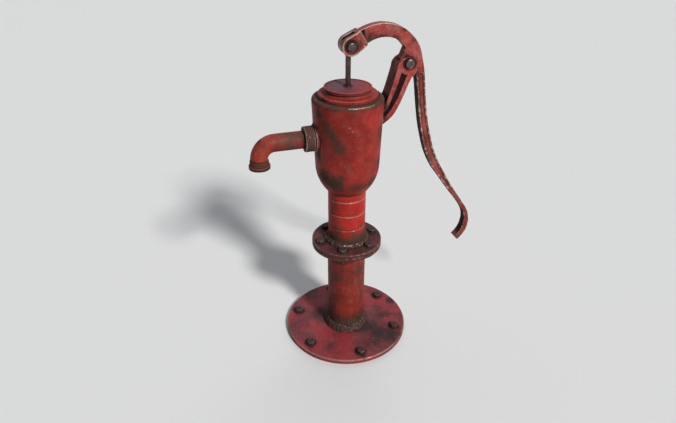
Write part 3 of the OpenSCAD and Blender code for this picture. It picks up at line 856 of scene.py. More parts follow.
BOLT_STEEL = RustedIron(
    "rusted_bolt_steel",
    painted=0.9,
    cloud_mm=8.0,
    brown="#3d2a28",
    orange="#543631",
    paint="#5c2b2a",
    shine=0.6,
    metal="#9c8b80",
)
COLLAR_IRON = RustedIron(
    "browned_malleable_iron",
    painted=0.5,
    brown="#5f3d31",
    orange="#754a3a",
    metal="#b89c8b",
    pits=0.4,
    shine=0.75,
)
NOSE_IRON = RustedIron(
    "red_stained_malleable_iron",
    brown="#6a3a2c",
    orange="#80452f",
    paint="#93392a",
    painted=0.75,
    pits=0.4,
    shine=0.25,
)
PLAIN_IRON = RustedIron("raw_grey_cast_iron", brown="#4c443e", orange="#6a5343", painted=0.0)
PIN_STEEL = WorkedMetal("worn_turned_pin_steel", metal="#897b7a", tarnish="#433330", low=0.34)
ROD_STEEL = WorkedMetal(
    "oiled_drawn_rod_steel", metal="#6b5950", tarnish="#30231f", line_way=(1.0, 1.0, 0.06), low=0.44
)
BRONZE = WorkedMetal("tarnished_turned_bronze", metal="#a8783f", tarnish="#5c4526")
BUSH_BRONZE = WorkedMetal("grimed_turned_bronze", metal="#7d5a44", tarnish="#3f2a28", low=0.2, tarnished=0.95)
LEATHER = Hide("oiled_cup_leather")
RUBBER = Hide("moulded_seal_rubber", tone="#242322", dark="#161514", pore_mm=0.5, dull=0.7)


# Sub-assemblies


@dataclass
class Assembly:
    """Pieces that are made and carried together."""

    body: Body = Body.PUMP

    def show(self, obj: bpy.types.Object, finish: Finish, slot: str, *nodes: str) -> None:
        """Dresses a new piece and sets it on the frame.

        Args:
            obj: the piece.
            finish: its finish.
            slot: the material slot that it belongs to; not used.
            nodes: the CAD nodes that it stands for.
        """
        obj.data.materials.clear()
        obj.data.materials.append(finish.material())
        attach(obj, self.body.value)
        if nodes:
            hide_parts(*nodes)
        log.info("%s: %d faces in %s", obj.name, len(obj.data.polygons), finish.title)

    def keep(self, finish: Finish, *nodes: str) -> None:
        """Gives CAD nodes that stay in view their finish."""
        for name in nodes:
            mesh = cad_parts[name].data
            mesh.materials.clear()
            mesh.materials.append(finish.material())
            log.info("%s: kept, in %s", name, finish.title)


def winding(theta: np.ndarray, z: np.ndarray, pitch: float) -> np.ndarray:
    """Depth of a line wound round the Z axis, from 0 on its crest to 1 at its root."""
    return np.abs((z / pitch - theta / TURN) % 1 - 0.5) * 2


def places(ring: float, start: float, count: int) -> list[tuple[float, float, float]]:
    """Evenly spaced places on a circle as x, y and turn in radians, from a start in degrees."""
    turns = [math.radians(start + i * 360 / count) for i in range(count)]
    return [(ring * math.cos(turn), ring * math.sin(turn), turn) for turn in turns]


@dataclass(frozen=True)
class HexBolt:
    """Hex bolt set: sizes in mm."""

    flats: float = 19.0
    shank_r: float = 6.0
    head_h: float = 8.0
    nut_h: float = 10.0
    pitch: float = 1.75
    thread_deep: float = 0.45
    segments: int = 72

    def head(self) -> Solid:
        """A head standing on z = 0, crowned on top."""
        r, h = self.flats / 2, self.head_h
        heights = [0.0, 0.5, h * 0.35, h * 0.6, *(h - d for d in (2.4, 1.9, 1.4, 0.9, 0.45, 0.0))]
        line = [(0.0, 0.0), (r * 0.7, 0.0), *((r, z) for z in heights)]
        line += [(r * 0.86, h + 0.1), (r * 0.55, h + 0.22), (r * 0.25, h + 0.3), (0.0, h + 0.3)]
        return turned(np.array(line), self.segments, False, hexagon(self.flats, h))

    def nut(self) -> Solid:
        """A nut standing on z = 0, with the shank filling it."""
        r, h, core = self.flats / 2, self.nut_h, self.shank_r + 0.6
        heights = [0.0, h * 0.3, h * 0.6, *(h - d for d in (2.4, 1.8, 1.2, 0.6, 0.0))]
        line = [(core, 0.0), *((r, z) for z in heights), (core + 0.6, h), (core, h - 0.5)]
        return turned(np.array(line), self.segments, True, hexagon(self.flats, h))

    def shank(self, low: float, high: float) -> Solid:
        """A threaded shank from a low to a high z."""

        def thread(theta: np.ndarray, r: np.ndarray, z: np.ndarray) -> tuple[np.ndarray, np.ndarray]:
            """Winds the thread round the shank."""
            wave = winding(theta, z, self.pitch)
            return np.where(r > self.shank_r - 0.7, r - self.thread_deep * wave, r), z

        corners = [Corner(0, low), Corner(self.shank_r - 1.2, low), Corner(self.shank_r, low + 1.2)]
        corners += [Corner(self.shank_r, high), Corner(0, high)]
        return turned(profile(corners, self.pitch / 4, False), 32, False, thread)


def on_circle(solid: Solid, ring: float, start: float, z: float, count: int, draw: random.Random) -> Solid:
    """Sets copies of a piece on a bolt circle, each turned as it was tightened."""
    made = None
    for _, _, turn in places(ring, start, count):
        spot = Matrix.Rotation(turn, 4, "Z") @ Matrix.Translation((ring, 0, z))
        one = solid.placed(spot @ Matrix.Rotation(draw.uniform(0, TURN), 4, "Z"))
        made = one if made is None else made + one
    return made


def weld_bead(r: float, width: float, height: float, foot: float, puddles: int, seed: float) -> Solid:
    """A ring of weld in the corner between a pipe and a plate, laid puddle by puddle.

    Args:
        r: the pipe's radius.
        width: how far the bead stands out.
        height: how far it reaches up.
        foot: level of the plate.
        puddles: number of puddles round the pipe.
        seed: start of its unevenness.
    Returns:
        The mesh.
    """
    sunk = 1.0

    def lumps(theta: np.ndarray, rr: np.ndarray, z: np.ndarray) -> tuple[np.ndarray, np.ndarray]:
        """Swells each puddle, with its crest trailing down the bead."""
        up = (z - foot) / height
        out = np.clip((rr - r) / width, 0, 1)
        around = np.stack([np.cos(theta) * r, np.sin(theta) * r, 0 * theta], axis=-1).reshape(-1, 3)
        slow = wobble(around, 17.0, seed).reshape(theta.shape)
        quick = wobble(around + 0.6 * np.stack([0 * z, 0 * z, z], axis=-1).reshape(-1, 3), 5.0, seed + 7)
        phase = puddles * theta + 1.6 * slow + 1.5 * up
        crest = np.abs(np.sin(phase / 2)) ** 0.7 - 0.62
        swell = out * (crest * 0.07 + slow * 0.12 + quick.reshape(theta.shape) * 0.26)
        return rr + width * swell, z + height * 0.16 * slow * np.clip(up, 0, 1)

    bow = [(math.cos(a), math.sin(a)) for a in np.radians(np.linspace(0, 90, 10))]
    corners = [Corner(r - sunk, foot - 0.2), Corner(r + width * 0.97, foot - 0.2)]
    corners += [Corner(r + width * c**0.8, foot + height * s**1.1) for c, s in bow]
    corners += [Corner(r - sunk, foot + height)]
    return turned(profile(corners, 1.6), 420, True, lumps)


def wear_bead(bead: bpy.types.Object, seed: float, crest: float) -> None:
    """Marks a weld's lumps worn bright, and strokes of wear and painted highlight along its crest at a height in mm."""
    edge = mark_wear(bead, 1, 3.4, 0.4)
    at = coords(bead.data)
    level, stroke_half = at * (1, 1, 0), 1.5
    lumps = edge * np.clip(wobble(at, 8.0, seed) * 3 + 0.45, 0, 1)
    # strokes along the crest: wear and painted highlight
    away = np.abs(at[:, 2] - crest - 2 * wobble(level, 14.0, seed + 3))
    strokes = np.clip(stroke_half - away, 0, 1) * np.clip(wobble(level, 11.0, seed + 5) * 4 + 0.3, 0, 1)
    mark(bead, Mark.EDGE, np.maximum(lumps, strokes))


@dataclass
class Foot(Assembly):
    """Floor plate with its anchor bolts, stand pipe, foot weld and suction socket."""

    plate_r: float = 167.45
    plate_t: float = 13.0
    plate_edge: float = 4.0
    socket_r: float = 28.0
    socket_bore: float = 19.5
    socket_l: float = 45.0
    anchor_ring: float = 140.0
    anchor_turn: float = 30.0
    pipe_r: float = 50.0
    pipe_wall: float = 6.0
    pipe_top: float = 276.0
    weld_w: float = 9.0
    weld_h: float = 22.0
    bolt: HexBolt = field(default_factory=HexBolt)
    bolts: int = 6

    def build(self) -> None:
        """Makes and dresses the foot."""
        self.plate()
        self.anchors()
        self.pipe()
        self.weld()
        self.socket()

    def plate(self) -> None:
        """Rolled plate, a little out of flat, scuffed and stained round its bolts and weld, with painted shadows."""
        corners = [
            Corner(self.socket_r, 0, 0.8),
            Corner(self.plate_r, 0, 0.8),
            Corner(self.plate_r, self.plate_t, self.plate_edge),
            Corner(self.socket_r, self.plate_t, 0.8),
        ]
        made = turned(profile(corners, 2.5), 360).as_object("floor_plate")
        at = coords(made.data)
        level = at * (1, 1, 0)
        sway = wobble(level, 45.0, 3.0) * 0.35 + wobble(level, 14.0, 5.0) * 0.12
        at[:, 2] -= np.where(at[:, 2] > self.plate_t / 2, 0.3 + sway, 0)
        put(made.data, at)
        mark_wear(made)
        top = self.plate_t
        spots = [
            Spot((48, -54, top), (52, 44, 20), 0.9),
            Spot((70, -88, top), (62, 52, 20), 1.0),
            Spot((94, -104, top), (60, 52, 20), 1.0),
            Spot((46, -112, top), (50, 40, 20), 0.75),
            Spot((112, -18, top), (50, 26, 20), 0.6),
            Spot((150, 36, top), (30, 30, 20), 0.85),
            # this spot darkens the plate behind the pipe, where its shadow falls: painted shadow
            Spot((-60, 40, top), (60, 60, 20), 0.8),
            Spot((-70, -96, top), (40, 26, 20), 0.4),
            Spot((30, 112, top), (60, 30, 20), 0.6),
            Spot((0, 0, top), (76, 76, 26), 0.85),
        ]
        # painted shadow with dirt: a dark patch beside each bolt, on the side away from the lamp
        dirt_and_shadow_r, dirt_and_shadow_soft, dirt_and_shadow_most = 17, 8, 0.5
        for x, y, _ in places(self.anchor_ring, self.anchor_turn, self.bolts):
            spots += [Spot((x, y, top), (21, 21, 20), 0.9), Spot((x * 1.06, y * 1.06 - 6, top), (16, 20, 20), 0.7)]
            off = np.hypot(at[:, 0] - x + 4, at[:, 1] - y - 3)
            mark(made, Mark.HOLLOW, (at[:, 2] > top / 2) * np.clip((dirt_and_shadow_r - off) / dirt_and_shadow_soft, 0, dirt_and_shadow_most), over=True)
        mark_spots(made, Mark.STAIN, spots)
        rim = (np.hypot(at[:, 0], at[:, 1]) > self.plate_r - 3.5) & (at[:, 2] > self.plate_t * 0.6)
        mark(made, Mark.SCUFF, rim * (0.18 - 0.2 * at[:, 1] / self.plate_r))
        self.show(made, RED_PLATE, "red_plate", "base_plate")

    def anchors(self) -> None:
        """Six rusted anchor bolts."""
        one = self.bolt.head() + self.bolt.shank(0.6 - self.plate_t, 0.2)
        draw = random.Random(11)
        made = on_circle(one, self.anchor_ring, self.anchor_turn, self.plate_t, self.bolts, draw)
        piece = made.as_object("anchor_bolt_set")
        mark_wear(piece, 1, 1.2)
        self.show(piece, BOLT_STEEL, "bolt_steel", "anchor_bolts")

    def pipe(self) -> None:
        """Drawn pipe, darker at its foot."""
        bore = self.pipe_r - self.pipe_wall
        low, high = self.plate_t, self.pipe_top
        corners = [Corner(bore, low), Corner(self.pipe_r, low), Corner(self.pipe_r, high), Corner(bore, high)]
        made = turned(profile(corners, 4.0), 192).as_object("stand_tube")
        roughen(made, 30.0, 0.15, 21.0)
        mark_wear(made)
        spots = [
            Spot((0, 0, low + 14), (400, 400, 66), 0.88),
            Spot((0, 0, high - 18), (400, 400, 16), 0.8),
            Spot((-30, -38, 190), (22, 22, 34), 0.55),
            Spot((20, -46, 215), (16, 14, 22), 0.5),
            Spot((44, 20, 120), (24, 26, 40), 0.6),
            Spot((-20, 46, 160), (30, 26, 50), 0.6),
        ]
        mark_spots(made, Mark.STAIN, spots)
        self.show(made, STAND_PAINT, "red_pipe", "stand_pipe")

    def weld(self) -> None:
        """Lumpy weld round the foot of the pipe."""
        made = weld_bead(self.pipe_r, self.weld_w, self.weld_h * 0.8, self.plate_t, 38, 2.0)
        piece = made.as_object("foot_weld_bead")
        wear_bead(piece, 2.0, self.plate_t + self.weld_h * 0.5)
        self.show(piece, WELD, "weld_bead", "foot_weld")

    def socket(self) -> None:
        """Socket under the plate, cut with pipe thread of 11 turns to the inch."""
        pitch, deep = 25.4 / 11, 1.3

        def thread(theta: np.ndarray, r: np.ndarray, z: np.ndarray) -> tuple[np.ndarray, np.ndarray]:
            """Cuts the thread outwards from the bore."""
            wave = winding(theta, z, pitch)
            ends = np.clip(np.minimum(z, self.socket_l - z) / pitch, 0, 1)
            return np.where(r < self.socket_bore + 0.1, r + deep * wave * ends, r), z

        bore = Corner(self.socket_bore, 0), Corner(self.socket_bore, self.socket_l)
        outside = Corner(self.socket_r, self.socket_l, 1.0), Corner(self.socket_r, 0.0)
        line = profile([*bore, *outside], pitch / 6)
        made = turned(line, 120, True, thread).as_object("suction_thread_socket")
        mark_wear(made, 1, 1.0)
        self.show(made, PLAIN_IRON, "plain_iron", "suction_socket")


@dataclass
class FlangeJoint(Assembly):
    """Two flanges with leather between them, their bolts, and the foot valve inside."""

    flange_r: float = 90.5
    flange_t: float = 8.0
    low: float = 276.0
    upper: float = 286.0
    hub_r: float = 53.0
    hub_h: float = 20.0
    pipe_r: float = 50.0
    port_r: float = 26.0
    barrel_r: float = 47.7
    ring: float = 72.0
    turn: float = 5.0
    tail: float = 5.0
    bolt: HexBolt = field(default_factory=HexBolt)
    bolts: int = 6

    def build(self) -> None:
        """Makes and dresses the joint."""
        self.flanges()
        self.bolt_sets()
        self.keep(LEATHER, "gasket", "flap_leather")
        self.keep(PLAIN_IRON, "flap_weight")
        self.keep(BRONZE, "flap_rivet")

    def flanges(self) -> None:
        """Both flanges, rounded where they were turned and knocked about since."""
        face, foot = self.low + self.flange_t, self.low - self.hub_h
        lower = [
            Corner(self.port_r, face),
            Corner(self.flange_r, face, 1.2),
            Corner(self.flange_r, self.low, 1.4),
            Corner(self.hub_r, self.low, 3.0),
            Corner(self.hub_r, foot, 1.2),
            Corner(self.pipe_r - 0.5, foot),
            Corner(self.pipe_r - 0.5, self.low),
            Corner(self.port_r, self.low),
        ]
        top = self.upper + self.flange_t
        upper = [
            Corner(self.barrel_r - 0.5, self.upper),
            Corner(self.flange_r, self.upper, 1.2),
            Corner(self.flange_r, top, 2.2),
            Corner(self.barrel_r - 0.5, top),
        ]
        for name, corners, node in (
            ("lower_flange_ring", lower, "lower_flange"),
            ("upper_flange_ring", upper, "upper_flange"),
        ):
            made = turned(profile(corners, 2.0), 256).as_object(name)
            roughen(made, 12.0, 0.22, 31.0)
            mark_wear(made)
            spots = [Spot((0, 0, top), (66, 66, 12), 0.7)]
            around = places(self.ring, self.turn, self.bolts)
            spots += [Spot((x, y, top), (18, 18, 14), 0.9) for x, y, _ in around]
            mark_spots(made, Mark.STAIN, spots)
            self.show(made, FLANGE_PAINT, "flange_plate", node)

    def bolt_sets(self) -> None:
        """Six bolts through the joint and their nuts under it."""
        top = self.upper + self.flange_t
        draw = random.Random(5)
        shank_foot = self.low - self.bolt.nut_h - self.tail
        one = self.bolt.head() + self.bolt.shank(shank_foot - top, 0.2)
        bolts = on_circle(one, self.ring, self.turn, top, self.bolts, draw).as_object("flange_bolt_set")
        under = self.bolt.nut().placed(Matrix.Scale(-1, 4, (0, 0, 1)))
        nuts = on_circle(under, self.ring, self.turn, self.low, self.bolts, draw).as_object("flange_nut_set")
        for piece, node in ((bolts, "flange_bolts"), (nuts, "flange_nuts")):
            mark_wear(piece, 1, 1.2)
            self.show(piece, BOLT_STEEL, "bolt_steel", node)


@dataclass
class Barrel(Assembly):
    """Turned barrel with ring grooves, and the weld at its foot."""

    r: float = 47.7
    bore: float = 40.0
    foot: float = 286.0
    top: float = 475.0
    flange_top: float = 294.0
    grooves: tuple[float, ...] = (422.0, 381.0, 340.0)
    groove_w: float = 4.0
    groove_deep: float = 1.2
    tool_pitch: float = 4.1
    weld_w: float = 10.0

    def build(self) -> None:
        """Makes and dresses the barrel."""
        corners = [Corner(self.bore, self.foot), Corner(self.r, self.foot)]
        for z in reversed(self.grooves):
            half, deep = self.groove_w / 2, self.r - self.groove_deep
            corners += [Corner(self.r, z - half, 0.7), Corner(deep, z - half / 2, 0.4)]
            corners += [Corner(deep, z + half / 2, 0.4), Corner(self.r, z + half, 0.7)]
        corners += [Corner(self.r, self.top), Corner(self.bore, self.top)]

        def tool_lines(theta: np.ndarray, r: np.ndarray, z: np.ndarray) -> tuple[np.ndarray, np.ndarray]:
            """Leaves the faint ridges of the turning tool."""
            ridge = np.maximum(np.cos(TURN * z / self.tool_pitch), 0.6) - 1.0
            return np.where(r > self.r - 0.05, r + 0.5 * ridge, r), z

        made = turned(profile(corners, 0.9), 192, True, tool_lines).as_object("turned_barrel")
        mark_wear(made, 1, 1.1, 0.3)
        z = coords(made.data)[:, 2]
        lips = [np.clip(2.6 - np.abs(z - groove + self.groove_w / 2), 0, 1) for groove in self.grooves]
        crest = np.clip(np.cos(TURN * z / self.tool_pitch) * 2 - 1, 0, 1)
        mark(made, Mark.SCUFF, np.maximum(0.55 * np.max(lips, axis=0), 0.36 * crest))
        spots = [
            Spot((0, 0, self.flange_top), (400, 400, 72), 0.95),
            Spot((-34, -32, 318), (34, 30, 44), 0.8),
            Spot((-40, -24, 400), (22, 26, 60), 0.5),
            Spot((0, 0, 442), (400, 400, 12), 0.6),
            Spot((30, 38, 360), (26, 26, 60), 0.6),
        ]
        mark_spots(made, Mark.STAIN, spots)
        self.show(made, BARREL_PAINT, "red_pipe", "barrel")
        bead = weld_bead(self.r, self.weld_w, self.weld_w * 1.05, self.flange_top, 30, 4.0)
        piece = bead.as_object("barrel_weld_bead")
        wear_bead(piece, 4.0, self.flange_top + self.weld_w * 0.6)
        self.show(piece, WELD, "weld_bead", "barrel_weld")


@dataclass
class Bowl(Assembly):
    """Cast water bowl with the boss for its spout."""

    top_r: float = 84.5
    low_r: float = 78.5
    foot: float = 440.0
    knee: float = 512.0
    rim: float = 677.0
    round_r: float = 105.0
    wall: float = 9.0
    rim_soft: float = 9.0
    barrel_r: float = 47.7
    barrel_top: float = 475.0
    mouth_r: float = 56.0
    register_r: float = 63.0
    register_h: float = 8.0
    spout_z: float = 582.0
    boss_r: float = 33.0
    boss_face: float = 83.0
    spout_r: float = 21.0

    def radius(self, z: np.ndarray) -> np.ndarray:
        """The bowl's outer radius at heights between knee and rim."""
        share = (z - self.knee) / (self.rim - 7.0 - self.knee)
        return self.low_r + (self.top_r - self.low_r) * share

    def build(self) -> None:
        """Makes and dresses the bowl and its boss as one casting."""
        knee_at = self.low_r - self.round_r
        start = -math.degrees(math.asin((self.knee - self.foot) / self.round_r))
        outside = arc(knee_at, self.knee, self.round_r, start, 0, 22)
        inside = self.low_r - self.wall
        inner_start = -math.degrees(math.asin((self.knee - self.barrel_top) / (self.round_r - self.wall)))
        hollow = arc(knee_at, self.knee, self.round_r - self.wall, 0, inner_start, 8)
        corners = [
            Corner(self.barrel_r - 0.4, self.foot),
            Corner(outside[0].r, outside[0].z, 2.0),
            *outside[1:],
            Corner(self.top_r, self.rim, self.rim_soft),
            Corner(self.register_r, self.rim, 0.5),
            Corner(self.register_r, self.rim + self.register_h - 0.3),
            Corner(self.mouth_r, self.rim + self.register_h - 0.3),
            Corner(self.mouth_r, self.rim - 7),
            Corner(self.top_r - self.wall, self.rim - 7),
            Corner(inside, self.knee),
            *hollow[1:],
            Corner(self.barrel_r - 0.4, self.barrel_top),
        ]
        shell = turned(profile(corners, 2.4), 288)
        made = (shell + self.boss()).as_object("bowl_casting")
        roughen(made, 26.0, 0.45, 41.0)
        mark_wear(made, 2, 6.0)
        band = [Spot((0, 0, self.rim - 2), (400, 400, 18), 0.66), Spot((0, 0, self.foot - 2), (400, 400, 18), 0.6)]
        smear = np.linspace((-66, -47, 632), (-42, -70, 578), 5)
        diagonal = [Spot(tuple(at), (30, 30, 26), 0.78) for at in smear.tolist()]
        low = [
            Spot((-68, -38, 492), (40, 38, 38), 1.0),
            Spot((-48, -56, 486), (40, 36, 42), 1.0),
            Spot((-36, -70, 503), (20, 20, 16), 0.8),
            Spot((6, -74, 474), (46, 30, 24), 0.75),
            Spot((42, -60, 480), (38, 36, 26), 0.75),
            Spot((64, -44, 520), (30, 36, 34), 0.66),
            Spot((62, -50, 592), (38, 40, 48), 0.6),
        ]
        other = [
            Spot((-79, -24, 546), (14, 18, 20), 0.9),
            Spot((-80, 24, 600), (16, 20, 40), 0.6),
            Spot((-76, -30, 655), (34, 34, 30), 0.62),
            Spot((-13, -81, 658), (26, 18, 15), 0.62),
            Spot((60, 56, 560), (30, 30, 46), 0.8),
            Spot((10, 82, 620), (40, 20, 30), 0.7),
            Spot((-40, 68, 500), (36, 30, 26), 0.9),
            Spot((82, -6, 588), (14, 26, 22), 0.7),
        ]
        ring = [(math.cos(a), math.sin(a)) for a in np.radians(np.arange(0, 360, 6))]
        # painted shade with stain: the ring round the boss's face is darkened
        boss = [
            Spot((-84, self.boss_r * c, self.spout_z + self.boss_r * s), (6, 9, 9), 1.0) for c, s in ring
        ]
        mark_spots(made, Mark.STAIN, band + diagonal + low + other + boss)
        # painted highlight: bright streaks on the rim's front right, where the key light glints
        bright = [
            Spot((r * math.cos(a), r * math.sin(a), z), (9, 9, 2.2), 0.7)
            for r, z in ((83.2, 674.6), (84.4, 667.4))
            for a in np.radians(np.arange(-103, -64, 3.5))
        ]
        # painted highlight: a thin bright crescent on the boss's rim, on its lit side
        lit = [(c, s) for c, s in ring if c < -0.4 and s < 0.9]
        lip = self.boss_r - 0.2
        bright += [Spot((-81.6, lip * c, self.spout_z + lip * s), (2.4, 6, 6), 0.75) for c, s in lit]
        # the painted highlights, with pale scratches on the front
        chalk = bright + [
            Spot((-21, -80, 630), (10, 9, 6), 1.0),
            Spot((-13, -82, 623), (7, 8, 6), 0.85),
            Spot((-26, -79, 622), (6, 8, 8), 0.6),
            Spot((2, -82, 604), (20, 12, 30), 0.32),
            Spot((30, -76, 640), (14, 12, 10), 0.4),
            Spot((-8, -80, 540), (12, 10, 12), 0.42),
        ]
        mark_spots(made, Mark.SCUFF, chalk)
        self.show(made, RED_CASTING, "red_casting", "bowl")

    def boss(self) -> Solid:
        """Round boss whose foot runs into the bowl's wall in a fillet."""
        fillet, edge, sunk = 4.0, 1.2, 3.0
        theta = np.linspace(0, TURN, 120, endpoint=False)

        def wall(reach: float | np.ndarray) -> np.ndarray:
            """Depth of the bowl's wall along X at a distance from the boss's axis."""
            y, z = reach * np.cos(theta), self.spout_z + reach * np.sin(theta)
            return -np.sqrt(self.radius(z) ** 2 - y**2)

        rows: list[tuple[float | np.ndarray, np.ndarray]] = []
        face = np.full(len(theta), -self.boss_face)
        for reach in (self.spout_r, 26.0, self.boss_r - edge):
            rows.append((reach, face))
        for u in np.linspace(0.2, 1, 5):
            swing = u * math.pi / 2
            rows.append((self.boss_r - edge + edge * math.sin(swing), face + edge * (1 - math.cos(swing))))
        side_end = np.maximum(wall(self.boss_r + fillet) - 0.6 * fillet, face + edge)
        for u in np.linspace(0.2, 1, 5):
            rows.append((self.boss_r, face + edge + (side_end - face - edge) * u))
        for u in np.linspace(0.15, 1, 7):
            reach = self.boss_r + fillet * u
            rows.append((reach, side_end + (wall(reach) - side_end) * u**0.8 + 0.25 * u))
        rows.append((self.boss_r + fillet, wall(self.boss_r + fillet) + sunk))
        rows.append((self.spout_r, face + 20))
        points = [
            np.stack([x, reach * np.cos(theta), self.spout_z + reach * np.sin(theta)], axis=1) for reach, x in rows
        ]
        return grid(np.array(points), True)


@dataclass
class Spout(Assembly):
    """Bent spout with its washer, coupling and nose ring."""

    z: float = 582.0
    reach: float = 213.5
    mouth: float = 523.0
    pipe_r: float = 21.0
    pipe_wall: float = 4.0
    bend_r: float = 38.0
    way_in: float = 72.0
    collar_r: float = 30.5
    collar_from: float = 84.5
    collar_l: float = 22.5
    nose_r: float = 25.5
    nose_h: float = 20.0
    nose_bands: int = 3

    def build(self) -> None:
        """Makes and dresses the spout."""
        self.pipe()
        self.collar()
        self.nose()
        self.keep(RUBBER, "spout_washer")

    def pipe(self) -> None:
        """Bent pipe, a little flattened and rippled in its bend."""
        level = np.linspace(-self.way_in, -self.reach + self.bend_r, 40)[:-1]
        line = [(x, self.z, 0.0) for x in level]
        for a in np.linspace(0, math.pi / 2, 34):
            x = -self.reach + self.bend_r - self.bend_r * math.sin(a)
            line.append((x, self.z - self.bend_r + self.bend_r * math.cos(a), a))
        line += [(-self.reach, z, math.pi / 2) for z in np.linspace(self.z - self.bend_r, self.mouth + 0.5, 10)[1:]]
        phi = np.linspace(0, TURN, 72, endpoint=False)
        rows = []
        for r, ordered in ((self.pipe_r, line), (self.pipe_r - self.pipe_wall, line[::-1])):
            for x, z, a in ordered:
                squeeze = 0.035 * math.sin(2 * a)
                inside = np.maximum(np.cos(phi + math.pi), 0) ** 2
                ripple = 0.35 * math.sin(2 * a) * math.sin(a * 18) * inside
                out = (r * (1 - squeeze) + ripple) * np.cos(phi)
                side = r * (1 + squeeze) * np.sin(phi)
                rows.append(np.stack([x - out * math.sin(a), side, z + out * math.cos(a)], axis=1))
        made = grid(np.array(rows), True).as_object("spout_bend")
        roughen(made, 15.0, 0.25, 51.0)
        mark_wear(made, 1, 2.0)
        spots = [
            Spot((-132, 0, 582), (70, 70, 70), 0.62),
            Spot((-137, -10, 598), (40, 26, 22), 0.8),
            Spot((-118, -10, 598), (22, 26, 22), 0.7),
            Spot((-130, 10, 562), (40, 20, 14), 0.6),
            Spot((-134, -18, 570), (44, 14, 16), 0.7),
            Spot((-213, 0, 540), (40, 40, 14), 0.7),
            Spot((-196, 16, 585), (26, 18, 24), 0.4),
        ]
        mark_spots(made, Mark.STAIN, spots)
        mark_spots(made, Mark.SCUFF, [Spot((-140, -14, 600), (34, 20, 16), 0.5)])
        self.show(made, SPOUT_PAINT, "red_pipe", "spout_pipe")

    def collar(self) -> None:
        """Coupling with turning lines round it, drawn as coarse as they need to show."""
        pitch, deep = 4.0, 0.6

        def lines(theta: np.ndarray, r: np.ndarray, z: np.ndarray) -> tuple[np.ndarray, np.ndarray]:
            """Winds the tool's line round the outside, uneven from wear."""
            wave = winding(theta, z, pitch)
            worn = 0.65 + 0.35 * np.sin(3 * theta + 0.4 * z)
            inner = (z > 1.8) & (z < self.collar_l - 2.4)
            return np.where((r > self.collar_r - 0.3) & inner, r - deep * wave * worn, r), z

        bore = self.pipe_r - 0.4
        corners = [
            Corner(bore, 0),
            Corner(self.collar_r, 0, 1.6),
            Corner(self.collar_r, self.collar_l, 2.2),
            Corner(bore + 3, self.collar_l, 1.0),
            Corner(bore, self.collar_l - 2),
        ]
        place = Matrix.Translation((-self.collar_from, 0, self.z)) @ Matrix.Rotation(-math.pi / 2, 4, "Y")
        made = turned(profile(corners, pitch / 7), 200, True, lines).placed(place).as_object("spout_coupling")
        roughen(made, 9.0, 0.25, 57.0)
        mark_wear(made, 1, 1.2, 0.7)
        x, y, z = coords(made.data).T
        away, spin = np.hypot(y, z - self.z), np.arctan2(y, z - self.z)
        wave = winding(spin, -x - self.collar_from, pitch)
        outside = away > self.collar_r - 1.2
        mark(made, Mark.EDGE, outside * 0.6 * (1 - wave) ** 2, over=True)
        mark(made, Mark.HOLLOW, outside * 0.8 * wave**2, over=True)
        self.show(made, COLLAR_IRON, "collar_iron", "spout_collar")

    def nose(self) -> None:
        """Nose ring: three bands over a lip."""
        lip = self.nose_h * 0.45
        band = (self.nose_h - lip) / self.nose_bands
        bore, mid = self.pipe_r - 0.4, self.pipe_r + 0.6
        corners = [Corner(bore, 0, 0.5), Corner(self.nose_r, 0, 1.2)]
        corners += [Corner(self.nose_r, lip, 2.2), Corner(mid, lip, 0.4)]
        for i in range(self.nose_bands):
            corners += arc(mid - band * 0.2, lip + (i + 0.5) * band, band * 0.46, -80, 80, 7)
        corners.append(Corner(bore, self.nose_h - 0.2))
        place = Matrix.Translation((-self.reach, 0, self.mouth))
        made = turned(profile(corners, 1.4), 160).placed(place).as_object("spout_nose_ring")
        roughen(made, 6.0, 0.2, 61.0)
        mark_wear(made, 1, 1.8, 0.65)
        mark_spots(made, Mark.STAIN, [Spot((-self.reach, 0, self.mouth + 2), (400, 400, 7), 1.0)])
        self.show(made, NOSE_IRON, "collar_iron", "spout_nose")


